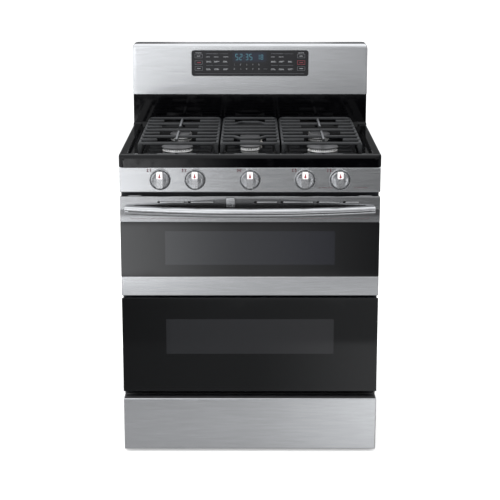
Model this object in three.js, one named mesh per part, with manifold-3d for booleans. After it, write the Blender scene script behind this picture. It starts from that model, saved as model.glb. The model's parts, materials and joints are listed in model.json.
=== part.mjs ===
// A freestanding gas range with a dual door: five burners, three cast grates, a split oven door with
// one bowed handle, a storage drawer and an electronic backguard. Millimetres, +Z up, front towards -Y,
// origin on the floor under the middle of the range.
import * as THREE from "three";
import { mergeVertices } from "three/addons/utils/BufferGeometryUtils.js";
import Module from "manifold-3d";

const wasm = await Module();
wasm.setup();

// ---- Driving dimensions -------------------------------------------------------------------------
const GAP = 0.3; // between pieces that touch
const SHEET = 1.5; // pressed steel covers
const COOKTOP_HALF = 380; // half of the overall width
const LIP_ROLL = 11; // radius of the cooktop's rolled front edge
const BODY_HALF = 378; // half of the width of the panel, doors, drawer and body
const FRONT = -302; // front faces of the panel, doors and drawer
const FRAME_FRONT = -250; // front of the body's face frame
const DOOR_REAR = -254; // back of the doors and of the drawer front
const BODY_REAR = 362;
const RISER_FRONT = 283;
const BACKGUARD = { front: 281, rear: 364, bottom: 1006, top: 1168, edgeRadius: 10 };
const DISPLAY = { half: 189, bottom: 1065, top: 1148 };
const COOKTOP = { front: -304, rear: 282, skirt: 872, top: 909, pan: 899, well: 888, sheet: 2 };
const RIM_WIDTH = 28; // raised border of the cooktop
const PANEL = { bottom: 798, top: 871.7 };
const UPPER_DOOR = { bottom: 487.7, top: 786, bandTop: 545.4, trimBottom: 708.7 };
const LOWER_DOOR = { bottom: 190, top: 480.5 };
const DRAWER = { bottom: 8, top: 169, travelEnd: 190 };
const HINGE_Y = -290.5; // both door hinges lie close behind the door faces
const FULL_HINGE_Z = 199;
const UPPER_HINGE_Z = 496;
const HINGE_X = 343; // middle of each hinge arm
const HANDLE = { half: 365, z: 747.5, middleY: -355, endY: -311.5, halfHeight: 13, halfDepth: 9 };
const RELEASE = { x: [-69, -43], z: [756, 782], proud: 8 };
const KNOB_Z = 836;
const KNOB_X = [-260, -159, 0, 159, 260];
const KNOB_NAMES = ["left_outer", "left_inner", "center", "right_inner", "right_outer"];
const OVEN = { half: 300, bottom: 214, top: 768, front: -246.7, rear: 235, wall: 2 };
const RACK_LEVELS = { lower: 372, upper: 592 };
const BURNER_X = 218;
const BURNERS = {
  front_left: { x: -BURNER_X, y: -115, radius: 47 },
  rear_left: { x: -BURNER_X, y: 128, radius: 35 },
  rear_right: { x: BURNER_X, y: 128, radius: 35 },
  front_right: { x: BURNER_X, y: -115, radius: 47 },
};
const OVAL = { y: -6, halfWidth: 30, halfLength: 125 };
const GRATE = { front: -225, pitch: 61.5, bars: 9, barWidth: 9, bottom: 925, top: 933 };
const SIDE_GRATE = [-329, -92];
const CENTER_GRATE = [-88, 88];

// ---- Colours and finishes -----------------------------------------------------------------------
const FINISHES = {
  stainless: [0xb9bbbd, 0.32, 1],
  chrome: [0xd8dadc, 0.12, 1],
  black_enamel: [0x0b0b0c, 0.12, 0.1],
  black_glass: [0x060607, 0.05, 0],
  cast_iron: [0x2b2c2e, 0.75, 0.3],
  aluminium: [0xb4b5b6, 0.45, 1],
  painted_steel: [0x3b3c3e, 0.5, 0.4],
  galvanised: [0x9a9c9e, 0.5, 0.9],
  black_plastic: [0x141416, 0.45, 0],
  knob_metal: [0xc4c5c6, 0.3, 1],
  brass: [0xb08a4a, 0.35, 1],
  rubber: [0x1a1a1a, 0.9, 0],
  board: [0x1f4a2d, 0.6, 0],
};

// ---- Solids -------------------------------------------------------------------------------------
function solid(geometry) {
  const bare = geometry.index ? geometry.toNonIndexed() : geometry.clone();
  bare.deleteAttribute("normal");
  bare.deleteAttribute("uv");
  const merged = mergeVertices(bare, 1e-4);
  const index = Array.from(merged.index.array);
  const triVerts = [];
  for (let i = 0; i < index.length; i += 3) {
    const [a, b, c] = index.slice(i, i + 3);
    if (a !== b && b !== c && c !== a) triVerts.push(a, b, c);
  }
  const vertProperties = merged.attributes.position.array;
  return new wasm.Manifold(
    new wasm.Mesh({ numProp: 3, vertProperties, triVerts: new Uint32Array(triVerts) }),
  );
}

const join = (...solids) => solids.reduce((whole, next) => whole.add(next));
const cut = (body, ...tools) => tools.reduce((rest, tool) => rest.subtract(tool), body);

// A box between [low, high] pairs along each axis.
function box(x, y, z) {
  const size = [x, y, z].map(([low, high]) => high - low);
  const middle = [x, y, z].map(([low, high]) => (low + high) / 2);
  return solid(new THREE.BoxGeometry(...size).translate(...middle));
}

// Turns the drawing plane (u, v) with depth w so that the depth runs along the named axis:
// (u, v) is (y, z) for x, (x, z) for y and (x, y) for z.
const ALONG = {
  x: new THREE.Matrix4().set(0, 0, 1, 0, 1, 0, 0, 0, 0, 1, 0, 0, 0, 0, 0, 1),
  y: new THREE.Matrix4().set(1, 0, 0, 0, 0, 0, -1, 0, 0, 1, 0, 0, 0, 0, 0, 1),
  z: new THREE.Matrix4(),
};

function prism(shape, axis, [low, high], curveSegments = 6) {
  const depth = high - low;
  const geometry = new THREE.ExtrudeGeometry(shape, { depth, bevelEnabled: false, curveSegments });
  geometry.applyMatrix4(ALONG[axis]);
  const shift = { x: [low, 0, 0], y: [0, high, 0], z: [0, 0, low] }[axis];
  return solid(geometry.translate(...shift));
}

const outline = (points) => new THREE.Shape(points.map(([u, v]) => new THREE.Vector2(u, v)));

// A round rod along an axis; [u, v] is its place on the two other axes, in x, y, z order.
function rod(axis, radius, [low, high], [u, v], sides = 12) {
  const geometry = new THREE.CylinderGeometry(radius, radius, high - low, sides);
  const middle = (low + high) / 2;
  if (axis === "x") geometry.rotateZ(Math.PI / 2).translate(middle, u, v);
  if (axis === "y") geometry.translate(u, middle, v);
  if (axis === "z") geometry.rotateX(Math.PI / 2).translate(u, v, middle);
  return solid(geometry);
}

// A turned piece about the vertical axis, from [radius, height] points.
function turned(points, sides = 24) {
  const profile = points.map(([radius, height]) => new THREE.Vector2(radius, height));
  return solid(new THREE.LatheGeometry(profile, sides).rotateX(Math.PI / 2));
}

// A tube of a few flat sides along a curve.
function tube(points, radius, steps, sides = 6) {
  const ring = Array.from({ length: sides }, (_, i) => {
    const turn = (2 * Math.PI * i) / sides;
    return [radius * Math.cos(turn), radius * Math.sin(turn)];
  });
  const extrudePath = new THREE.CatmullRomCurve3(
    points.map((point) => new THREE.Vector3(...point)),
    false,
    "centripetal",
  );
  return solid(new THREE.ExtrudeGeometry(outline(ring), { steps, bevelEnabled: false, extrudePath }));
}

// A pan: a box that is open on one side, with walls of one thickness.
function openBox(x, y, z, wall, openSide) {
  const inside = { x: [x[0] + wall, x[1] - wall], y: [y[0] + wall, y[1] - wall] };
  inside.z = [z[0] + wall, z[1] - wall];
  const [axis, end] = openSide;
  if (end === "+") inside[axis] = [inside[axis][0], inside[axis][1] + 2 * wall];
  else inside[axis] = [inside[axis][0] - 2 * wall, inside[axis][1]];
  return cut(box(x, y, z), box(inside.x, inside.y, inside.z));
}

const mirrored = ([low, high]) => [-high, -low];
const sides = (range) => [range, mirrored(range)];

// ---- The scene graph ----------------------------------------------------------------------------
const range = new THREE.Group();
const assemblies = {};

function assembly(name) {
  if (!assemblies[name]) {
    assemblies[name] = new THREE.Group();
    range.add(assemblies[name]);
  }
  return assemblies[name];
}

function addPiece(group, name, body, finish, place = [0, 0, 0], turn = [0, 0, 0]) {
  const [color, roughness, metalness] = FINISHES[finish];
  const { numProp, vertProperties, triVerts } = body.getMesh();
  const geometry = new THREE.BufferGeometry();
  geometry.setAttribute("position", new THREE.BufferAttribute(vertProperties, numProp));
  geometry.setIndex(new THREE.BufferAttribute(triVerts, 1));
  const material = new THREE.MeshStandardMaterial({ color, roughness, metalness });
  const mesh = new THREE.Mesh(geometry, material);
  mesh.name = name;
  mesh.position.set(...place);
  mesh.rotation.set(...turn);
  assembly(group).add(mesh);
}

// ---- Body ---------------------------------------------------------------------------------------
function sidePanel(sign) {
  const edge = sign * BODY_HALF;
  const inner = edge - sign * SHEET;
  const flange = edge - sign * 20;
  const flangeY = BODY_REAR - 3.6;
  const section = [
    [edge, FRAME_FRONT],
    [edge, BODY_REAR],
    [inner, BODY_REAR],
    [inner, flangeY],
    [flange, flangeY],
    [flange, flangeY - SHEET],
    [inner, flangeY - SHEET],
    [inner, FRAME_FRONT],
  ];
  return prism(outline(section), "z", [24, 870]);
}

function rearPanel() {
  const wide = BODY_HALF - SHEET - GAP;
  return box([-wide, wide], [BODY_REAR - 3.2, BODY_REAR - SHEET], [30, 868]);
}

function basePan() {
  const wide = BODY_HALF - SHEET - GAP;
  return openBox([-wide, wide], [-246, BODY_REAR - 5.6], [26, 34], SHEET, ["z", "+"]);
}

function frontFrame() {
  const wide = BODY_HALF - SHEET - GAP;
  const plate = box([-wide, wide], [FRAME_FRONT, -247], [26, 792]);
  const ovenMouth = box([-OVEN.half, OVEN.half], [-260, -240], [OVEN.bottom, OVEN.top - OVEN.wall]);
  const drawerMouth = box([-347, 347], [-260, -240], [40, 178]);
  return cut(plate, ovenMouth, drawerMouth);
}

function ovenLiner() {
  const { half, bottom, top, front, rear, wall } = OVEN;
  const shell = openBox([-half - wall, half + wall], [front, rear + wall],
    [bottom - wall, top], wall, ["y", "-"]);
  const ledges = Object.values(RACK_LEVELS).flatMap((level) =>
    sides([half - 11, half + 1]).map((x) => box(x, [-240, 195], [level - 4, level - GAP])));
  const shaftHole = rod("y", 8, [rear - 5, rear + 5], [0, FAN.z]);
  return cut(join(shell, ...ledges), shaftHole);
}

function foot() {
  return turned([[0, 0], [18, 0], [18, 4], [14, 8], [6, 9], [6, 25.7], [0, 25.7]], 14);
}

// ---- Oven fittings ------------------------------------------------------------------------------
const FAN = { z: 491, radius: 68, hub: 13 };

function convectionFan() {
  const hub = rod("y", FAN.hub, [205, 226], [0, 0], 16);
  const shaft = rod("y", 5, [204, 262], [0, 0], 10);
  const disc = rod("y", FAN.radius - 6, [224, 226], [0, 0], 24);
  const blade = new THREE.BoxGeometry(FAN.radius - FAN.hub + 4, 20, 1.6);
  const blades = Array.from({ length: 8 }, (_, i) => solid(
    blade.clone().translate((FAN.radius + FAN.hub) / 2, 215, 0).rotateY((i * Math.PI) / 4),
  ));
  return join(hub, shaft, disc, ...blades);
}

function ovenRack(bottom) {
  const wire = 6;
  const depth = [-222, 200];
  const rails = [
    ...sides([290, 296]).map((x) => box(x, depth, [bottom, bottom + wire])),
    ...[depth[0], -12, depth[1] - wire].map((y) =>
      box([-296, 296], [y, y + wire], [bottom, bottom + wire])),
  ];
  const wires = Array.from({ length: 11 }, (_, i) => {
    const x = -240 + 48 * i;
    return box([x - 2, x + 2], depth, [bottom + 2, bottom + wire + 2]);
  });
  return join(...rails, ...wires);
}

// A gas oven burner: two perforated tubes joined at the back by a cross tube.
function ovenBurner(level, half) {
  const legs = [-half, half].map((x) => rod("y", 8, [-170, 160], [x, level], 10));
  return join(...legs, rod("x", 8, [-half, half], [156, level], 10));
}

// ---- Cooktop ------------------------------------------------------------------------------------
const WELLS = [[-314, -111], [-75, 75], [111, 314]];
const WELL_DEPTH = [-219, 263];

// The pressed top: rolled front edge, raised border, flat pan and three burner wells.
function cooktop() {
  const { front, rear, skirt, top, pan, well, sheet } = COOKTOP;
  const corner = 16;
  const plan = new THREE.Shape();
  plan.moveTo(-COOKTOP_HALF, rear);
  plan.lineTo(-COOKTOP_HALF, front + corner);
  plan.absarc(-COOKTOP_HALF + corner, front + corner, corner, Math.PI, 1.5 * Math.PI, false);
  plan.lineTo(COOKTOP_HALF - corner, front);
  plan.absarc(COOKTOP_HALF - corner, front + corner, corner, 1.5 * Math.PI, 2 * Math.PI, false);
  plan.lineTo(COOKTOP_HALF, rear);
  const profile = new THREE.Shape();
  profile.moveTo(front, skirt);
  profile.lineTo(rear, skirt);
  profile.lineTo(rear, top + 7);
  profile.lineTo(rear - 8, top + 7);
  profile.lineTo(rear - 12, top);
  profile.lineTo(front + LIP_ROLL, top);
  profile.absarc(front + LIP_ROLL, top - LIP_ROLL, LIP_ROLL, Math.PI / 2, Math.PI, false);
  const outer = prism(plan, "z", [skirt, top + 8], 5).intersect(
    prism(profile, "x", [-COOKTOP_HALF - 1, COOKTOP_HALF + 1], 8),
  );
  const panHalf = COOKTOP_HALF - RIM_WIDTH;
  const panRecess = box([-panHalf, panHalf], [front + 26, rear - 9], [pan, top + 20]);
  const wells = WELLS.map((x) => box(x, WELL_DEPTH, [well, pan + 1]));
  const inner = COOKTOP_HALF - sheet;
  const depth = [front + sheet, rear - sheet];
  const below = [skirt - 1, well - sheet];
  const between = [well - sheet - 1, pan - sheet];
  const hollows = [
    box([-inner, inner], depth, below),
    box([-inner, inner], [front + 30, WELL_DEPTH[0] - sheet], between),
    box([-inner, inner], [WELL_DEPTH[1] + sheet, depth[1]], between),
  ];
  const strips = [[-inner, WELLS[0][0]], [WELLS[0][1], WELLS[1][0]],
    [WELLS[1][1], WELLS[2][0]], [WELLS[2][1], inner]];
  strips.forEach(([low, high]) => {
    hollows.push(box([low + sheet, high - sheet], [WELL_DEPTH[0] - 10, WELL_DEPTH[1] + 4], between));
  });
  const holes = Object.values(BURNERS).map(({ x, y }) => rod("z", 24, [870, 895], [x, y], 20));
  holes.push(rod("z", 24, [870, 895], [0, OVAL.y], 20));
  return cut(outer, panRecess, ...wells, ...hollows, ...holes);
}

// Heights of the burner pieces above the floor of their well.
const HEAD = { throat: -12, flange: GAP, top: 9.7 };
const CAP = { bottom: 10, edge: 14, top: 17.5 };

function burnerHead(radius) {
  const bore = 9;
  return turned([
    [bore, HEAD.throat], [19, HEAD.throat], [19, HEAD.flange], [radius - 8, HEAD.flange],
    [radius - 2, 2.5], [radius - 2, 4], [radius - 5, 4.5], [radius - 5, HEAD.top],
    [bore, HEAD.top], [bore, HEAD.throat],
  ], 24);
}

function burnerCap(radius) {
  return turned([
    [0, CAP.bottom], [radius - 5, CAP.bottom], [radius, CAP.bottom + 1.5], [radius, CAP.edge],
    [radius - 4, CAP.top - 1], [radius - 14, CAP.top], [0, CAP.top],
  ], 24);
}

// An oval outline whose long axis runs from front to back.
function ovalShape(inset) {
  const radius = OVAL.halfWidth - inset;
  const reach = OVAL.halfLength - OVAL.halfWidth;
  const shape = new THREE.Shape();
  shape.moveTo(radius, -reach);
  shape.lineTo(radius, reach);
  shape.absarc(0, reach, radius, 0, Math.PI, false);
  shape.lineTo(-radius, -reach);
  shape.absarc(0, -reach, radius, Math.PI, 2 * Math.PI, false);
  return shape;
}

function ovalHead() {
  const flange = prism(ovalShape(2), "z", [HEAD.flange, 4], 10);
  const ring = prism(ovalShape(5), "z", [3, HEAD.top], 10);
  const throat = rod("z", 19, [HEAD.throat, 5], [0, 0], 20);
  const bore = rod("z", 9, [HEAD.throat - 1, HEAD.top + 1], [0, 0], 12);
  return cut(join(flange, ring, throat), bore);
}

function ovalCap() {
  const edge = prism(ovalShape(0), "z", [CAP.bottom, CAP.edge + 1], 10);
  return join(edge, prism(ovalShape(4), "z", [CAP.edge, CAP.top], 10));
}

// ---- Grates -------------------------------------------------------------------------------------
const barY = (i) => GRATE.front + GRATE.pitch * i;
const GRATE_BACK = barY(GRATE.bars - 1);
const crossBar = (x, y) => box(x, [y - GRATE.barWidth / 2, y + GRATE.barWidth / 2],
  [GRATE.bottom, GRATE.top]);

// The frame and the four legs that every grate has.
function grateFrame([left, right]) {
  const { barWidth, bottom, top, front } = GRATE;
  const half = barWidth / 2;
  const depth = [front - half, GRATE_BACK + half];
  const pieces = [
    crossBar([left, right], front),
    crossBar([left, right], GRATE_BACK),
    box([left, left + barWidth], depth, [bottom - 3, top - 4]),
    box([right - barWidth, right], depth, [bottom - 3, top - 4]),
  ];
  const leg = 13;
  for (const x of [[left, left + leg], [right - leg, right]]) {
    for (const y of [[depth[0], depth[0] + leg], [depth[1] - leg, depth[1]]]) {
      pieces.push(box(x, y, [COOKTOP.pan + GAP, bottom + 1]));
    }
  }
  return pieces;
}

// A side grate: full bars through both burners, short bars that stop around them, two fore-aft fingers.
function sideGrate(x, burnerX) {
  const pieces = grateFrame(x);
  const clear = 59;
  for (let i = 1; i < GRATE.bars - 1; i++) {
    if (i % 2 === 0) pieces.push(crossBar(x, barY(i)));
    else {
      pieces.push(crossBar([x[0] + 1, burnerX - clear], barY(i)));
      pieces.push(crossBar([burnerX + clear, x[1] - 1], barY(i)));
    }
  }
  const half = GRATE.barWidth / 2;
  for (const i of [2, 6]) {
    const y = [barY(i) - 76, barY(i) + 76];
    pieces.push(box([burnerX - half, burnerX + half], y, [GRATE.bottom + 1, GRATE.top + 2]));
  }
  return join(...pieces);
}

// A bar that bows away from the middle of the centre grate, around the ends of the oval burner.
function bowedBar([left, right], y, bow) {
  const half = GRATE.barWidth / 2;
  const middle = (left + right) / 2;
  const reach = 48;
  const points = [[left, y], [middle - reach, y], [middle - reach / 2, y + bow],
    [middle + reach / 2, y + bow], [middle + reach, y], [right, y]];
  const near = points.map(([px, py]) => [px, py - half]);
  const far = points.map(([px, py]) => [px, py + half]).reverse();
  return prism(outline([...near, ...far]), "z", [GRATE.bottom, GRATE.top]);
}

function centerGrate(x) {
  const pieces = grateFrame(x);
  for (const i of [3, 4, 5]) pieces.push(crossBar(x, barY(i)));
  pieces.push(bowedBar(x, barY(2), -38), bowedBar(x, barY(6), 38));
  for (const i of [1, 7]) {
    pieces.push(crossBar([x[0] + 1, x[0] + 38], barY(i)));
    pieces.push(crossBar([x[1] - 38, x[1] - 1], barY(i)));
  }
  return join(...pieces);
}

// ---- Gas controls -------------------------------------------------------------------------------
function controlPanel() {
  const x = [-BODY_HALF, BODY_HALF];
  const pan = openBox(x, [FRONT, FRAME_FRONT], [PANEL.bottom, PANEL.top], SHEET, ["y", "+"]);
  const holes = KNOB_X.map((place) => rod("y", 7, [FRONT - 5, FRONT + 5], [place, KNOB_Z], 16));
  return cut(pan, ...holes);
}

// The gas rail, its five valves and the tube from each valve to its burner.
function gasManifold() {
  const railY = -262;
  const valveFront = -288;
  const rail = rod("x", 9, [-330, 330], [railY, KNOB_Z], 12);
  const valves = KNOB_X.map((x) => rod("y", 12, [valveFront, railY], [x, KNOB_Z], 12));
  const targets = [BURNERS.front_left, BURNERS.rear_left, { x: 0, y: OVAL.y },
    BURNERS.rear_right, BURNERS.front_right];
  const tubes = targets.map(({ x, y }, i) => tube([
    [KNOB_X[i], railY - 12, KNOB_Z + 8], [KNOB_X[i], railY - 8, KNOB_Z + 22],
    [KNOB_X[i], railY + 14, KNOB_Z + 27], [x, y - 40, KNOB_Z + 29], [x, y, KNOB_Z + 38],
  ], 4, 12));
  const bores = KNOB_X.map((x) => rod("y", 5, [valveFront - 1, -268], [x, KNOB_Z], 12));
  return cut(join(rail, ...valves, ...tubes), ...bores);
}

const STEM = { front: -320, rear: -282, radius: 4 };
const stem = () => rod("y", STEM.radius, [STEM.rear, STEM.front].reverse(), [0, 0], 12);

// A knob about its own axis: a shallow skirt, a round face and a grip bar across it.
const KNOB = { back: 6, skirt: 26.5, face: 14, grip: 31, gripHalf: 11, bore: 4.4 };

function knob() {
  const { back, skirt, face, grip, gripHalf, bore } = KNOB;
  const body = turned([
    [0, back], [skirt, back], [skirt, back + 3], [skirt - 2.5, face - 1], [skirt - 4, face], [0, face],
  ], 28);
  const reach = skirt - 2;
  const bar = prism(outline([
    [-gripHalf, -reach + 8], [-gripHalf + 3, -reach + 2], [0, -reach], [gripHalf - 3, -reach + 2],
    [gripHalf, -reach + 8], [gripHalf, reach - 8], [gripHalf - 3, reach - 2], [0, reach],
    [-gripHalf + 3, reach - 2], [-gripHalf, reach - 8],
  ]), "z", [face - 2, grip]);
  const topCut = new THREE.BoxGeometry(80, 40, 30);
  const slopes = [1, -1].map((sign) => solid(
    topCut.clone().translate(0, sign * 20, 15).rotateX(-sign * 0.38).translate(0, sign * 12, grip),
  ));
  const socket = rod("z", bore, [back - 1, back + 14], [0, 0], 14);
  return cut(join(body, bar), ...slopes, socket);
}

// ---- Backguard ----------------------------------------------------------------------------------
function backguardRiser() {
  const half = BODY_HALF + 1;
  const y = [RISER_FRONT, BODY_REAR + 1];
  const z = [COOKTOP.skirt + 2, BACKGUARD.bottom - GAP];
  const hollow = box([-half + 2, half - 2], [y[0] + 2, y[1] - 2], [z[0] - 5, z[1] + 5]);
  return cut(box([-half, half], y, z), hollow);
}

function backguardCover() {
  const { front, rear, bottom, top, edgeRadius } = BACKGUARD;
  const side = new THREE.Shape();
  side.moveTo(front, bottom);
  side.lineTo(rear, bottom);
  side.lineTo(rear, top);
  side.lineTo(front + edgeRadius, top);
  side.absarc(front + edgeRadius, top - edgeRadius, edgeRadius, Math.PI / 2, Math.PI, false);
  const corner = 12;
  const face = new THREE.Shape();
  face.moveTo(-COOKTOP_HALF, bottom - 1);
  face.lineTo(COOKTOP_HALF, bottom - 1);
  face.lineTo(COOKTOP_HALF, top - corner);
  face.absarc(COOKTOP_HALF - corner, top - corner, corner, 0, Math.PI / 2, false);
  face.lineTo(-COOKTOP_HALF + corner, top);
  face.absarc(-COOKTOP_HALF + corner, top - corner, corner, Math.PI / 2, Math.PI, false);
  const shell = prism(side, "x", [-COOKTOP_HALF, COOKTOP_HALF], 5)
    .intersect(prism(face, "y", [front - 1, rear + 1], 5));
  const wall = 4;
  const inner = COOKTOP_HALF - wall;
  const hollow = box([-inner, inner], [front + wall, rear - wall], [bottom - 5, top - edgeRadius]);
  const { half, bottom: low, top: high } = DISPLAY;
  const window = box([-half - GAP, half + GAP], [front - 5, front + 10], [low - GAP, high + GAP]);
  return cut(shell, hollow, window);
}

function displayGlass() {
  const { half, bottom, top } = DISPLAY;
  const r = 8;
  const shape = new THREE.Shape();
  shape.moveTo(-half + r, bottom);
  shape.lineTo(half - r, bottom);
  shape.absarc(half - r, bottom + r, r, -Math.PI / 2, 0, false);
  shape.absarc(half - r, top - r, r, 0, Math.PI / 2, false);
  shape.absarc(-half + r, top - r, r, Math.PI / 2, Math.PI, false);
  shape.absarc(-half + r, bottom + r, r, Math.PI, 1.5 * Math.PI, false);
  return prism(shape, "y", [BACKGUARD.front - 1, BACKGUARD.front + 4]);
}

function controlBoard() {
  const board = box([-170, 170], [300, 302], [1072, 1142]);
  const parts = [[-150, -110], [-90, -50], [-20, 30], [60, 110], [125, 160]];
  const chips = parts.map((x, i) => box(x, [301, 308 + 3 * (i % 3)], [1085, 1115 + 5 * (i % 4)]));
  return join(board, ...chips);
}

// ---- Doors --------------------------------------------------------------------------------------
const NOTCH_HALF = 6; // half of the width of the slot that a hinge arm swings in
const ARM_HALF = 3;
const EYE = 5.5;
const PIN = 2.4;
const HOLE = 3.1;
const LINER_HALF = 374;
const LINER_FRONT = -296.7;

// An enamelled inner panel: a pan open to the front, with a slot, two cheeks and a pin at each hinge.
function doorLiner([bottom, top], hingeZ) {
  const x = [-LINER_HALF, LINER_HALF];
  let panel = openBox(x, [LINER_FRONT, DOOR_REAR], [bottom, top], 2, ["y", "-"]);
  const windowBottom = bottom + (top - bottom) * 0.36;
  const windowTop = bottom + (top - bottom) * 0.78;
  panel = cut(panel, box([-250, 250], [DOOR_REAR - 1, DOOR_REAR + 1], [windowBottom, windowTop]));
  for (const sign of [-1, 1]) {
    const middle = sign * HINGE_X;
    const block = [middle - NOTCH_HALF - 8, middle + NOTCH_HALF + 8];
    const slot = [middle - NOTCH_HALF, middle + NOTCH_HALF];
    panel = join(panel, box(block, [LINER_FRONT, DOOR_REAR], [bottom, hingeZ + 11]));
    panel = cut(panel, box(slot, [LINER_FRONT - 1, DOOR_REAR + 1], [bottom - 1, hingeZ + 8]));
    panel = join(panel, rod("x", PIN, [block[0] + 4, block[1] - 4], [HINGE_Y, hingeZ]));
  }
  return panel;
}

// A hinge arm with an eye around the pin, reaching back to y = end.
function hingeArm(middle, hingeZ, end) {
  const x = [middle - ARM_HALF, middle + ARM_HALF];
  const bar = box(x, [HINGE_Y, end], [hingeZ - 4, hingeZ + 4]);
  const eye = rod("x", EYE, x, [HINGE_Y, hingeZ], 16);
  return cut(join(bar, eye), rod("x", HOLE, [x[0] - 1, x[1] + 1], [HINGE_Y, hingeZ], 12));
}

function upperDoorLiner() {
  return doorLiner([UPPER_DOOR.bottom + 2, UPPER_DOOR.top - 2], UPPER_HINGE_Z);
}

// The lower door's inner panel carries the two arms that the upper door turns on.
function lowerDoorLiner() {
  const panel = doorLiner([LOWER_DOOR.bottom + 2, LOWER_DOOR.top], FULL_HINGE_Z);
  const arms = [-HINGE_X, HINGE_X].map((middle) => join(
    hingeArm(middle, UPPER_HINGE_Z, -256),
    box([middle - ARM_HALF, middle + ARM_HALF], [-262, -256], [LOWER_DOOR.top - 2, UPPER_HINGE_Z + 4]),
  ));
  return join(panel, ...arms);
}

// The hinge bracket on the face frame that the full door turns on.
function frameHinge(sign) {
  const middle = sign * HINGE_X;
  const plate = box([middle - 9, middle + 9], [FRAME_FRONT - 1.6, FRAME_FRONT - GAP],
    [FULL_HINGE_Z - 10, FULL_HINGE_Z + 30]);
  return join(hingeArm(middle, FULL_HINGE_Z, FRAME_FRONT - GAP), plate);
}

const GLASS_FRONT = FRONT + 1;
const doorGlass = (bottom, top) =>
  box([-BODY_HALF, BODY_HALF], [GLASS_FRONT, GLASS_FRONT + 4], [bottom, top]);

// A stainless door trim: a flat face with a return along one edge and short returns at the ends.
function doorTrim([bottom, top], returnAtTop) {
  const returnY = FRONT + 12;
  const face = box([-BODY_HALF, BODY_HALF], [FRONT, FRONT + SHEET], [bottom, top]);
  const returnZ = returnAtTop ? [top - SHEET, top] : [bottom, bottom + SHEET];
  const edge = box([-BODY_HALF, BODY_HALF], [FRONT, returnY], returnZ);
  const ends = sides([BODY_HALF - SHEET, BODY_HALF]).map((x) => box(x, [FRONT, returnY], [bottom, top]));
  return join(face, edge, ...ends);
}

function topTrim() {
  const { x, z } = RELEASE;
  const slot = box([x[0] - 0.6, x[1] + 0.6], [FRONT - 5, FRONT + 5], [z[0] - 0.6, z[1] + 0.6]);
  return cut(doorTrim([UPPER_DOOR.trimBottom, UPPER_DOOR.top], true), slot);
}

function bottomTrim() {
  const notches = [-HINGE_X, HINGE_X].map((middle) => box(
    [middle - NOTCH_HALF, middle + NOTCH_HALF],
    [FRONT + SHEET + 0.5, FRONT + 20],
    [UPPER_DOOR.bottom - 1, UPPER_DOOR.bottom + 2],
  ));
  return cut(doorTrim([UPPER_DOOR.bottom, UPPER_DOOR.bandTop], false), ...notches);
}

const releaseTrigger = () => box(RELEASE.x, [FRONT - RELEASE.proud, FRONT + 18], RELEASE.z);

// The bowed bar: a rounded section along a shallow arc whose ends come back to the door.
function doorHandle() {
  const { half, z, middleY, endY, halfHeight: h, halfDepth: d } = HANDLE;
  const sagitta = endY - middleY;
  const radius = (half * half + sagitta * sagitta) / (2 * sagitta);
  const spread = Math.asin(half / radius);
  class Bow extends THREE.Curve {
    getPoint(t, target = new THREE.Vector3()) {
      const turn = (2 * t - 1) * spread;
      return target.set(radius * Math.sin(turn), middleY + radius * (1 - Math.cos(turn)), z);
    }
  }
  const section = outline([
    [-h, -d + 5], [-h + 4, -d + 1], [-h + 7, -d], [h - 7, -d], [h - 4, -d + 1], [h, -d + 5],
    [h, d - 5], [h - 5, d], [-h + 5, d], [-h, d - 5],
  ]);
  return solid(new THREE.ExtrudeGeometry(section,
    { steps: 24, bevelEnabled: false, extrudePath: new Bow() }));
}

// ---- Drawer -------------------------------------------------------------------------------------
const RUNNER = { z: [72, 78], reach: 344.5 };
const BOX_HALF = 338;

function drawerFront() {
  const x = [-BODY_HALF, BODY_HALF];
  return openBox(x, [FRONT, DOOR_REAR], [DRAWER.bottom, DRAWER.top], SHEET, ["y", "+"]);
}

function drawerCap() {
  const reach = BODY_HALF - 3;
  const plate = box([-reach, reach], [FRONT + 1, DOOR_REAR], [DRAWER.top + GAP, DRAWER.top + 5]);
  const grip = box([-200, 200], [FRONT + 16, FRONT + 34], [DRAWER.top + 2, DRAWER.top + 6]);
  return cut(plate, grip);
}

function drawerBox() {
  const tray = openBox([-BOX_HALF, BOX_HALF], [-298, DRAWER.travelEnd], [42, 150], SHEET, ["z", "+"]);
  const runners = sides([BOX_HALF - 1, RUNNER.reach]).map((x) =>
    box(x, [-240, DRAWER.travelEnd], RUNNER.z));
  return join(tray, ...runners);
}

function drawerRail(sign) {
  const outer = sign > 0 ? [341, 374] : [-374, -341];
  const groove = sign > 0 ? [340, 347] : [-347, -340];
  return cut(box(outer, [-245, 300], [62, 88]),
    box(groove, [-246, 301], [RUNNER.z[0] - 1, RUNNER.z[1] + 1]));
}

// ---- Assembly -----------------------------------------------------------------------------------
const SIDES = { left: -1, right: 1 };
for (const [side, sign] of Object.entries(SIDES)) {
  addPiece("chassis", `side_panel_${side}`, sidePanel(sign), "painted_steel");
  addPiece("chassis", `door_hinge_${side}`, frameHinge(sign), "galvanised");
  addPiece("chassis", `drawer_rail_${side}`, drawerRail(sign), "galvanised");
  for (const [end, y] of Object.entries({ front: -215, rear: 325 })) {
    addPiece("chassis", `foot_${end}_${side}`, foot(), "rubber", [sign * 335, y, 0]);
  }
}
addPiece("chassis", "rear_panel", rearPanel(), "galvanised");
addPiece("chassis", "base_pan", basePan(), "galvanised");
addPiece("chassis", "front_frame", frontFrame(), "black_enamel");
addPiece("chassis", "oven_liner", ovenLiner(), "black_enamel");
addPiece("chassis", "bake_burner", ovenBurner(195, 150), "galvanised");
addPiece("chassis", "broil_burner", ovenBurner(752, 110), "galvanised");
addPiece("fan", "convection_fan", convectionFan(), "galvanised", [0, 0, FAN.z]);
for (const [level, bottom] of Object.entries(RACK_LEVELS)) {
  addPiece("racks", `oven_rack_${level}`, ovenRack(bottom), "chrome");
}

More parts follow.
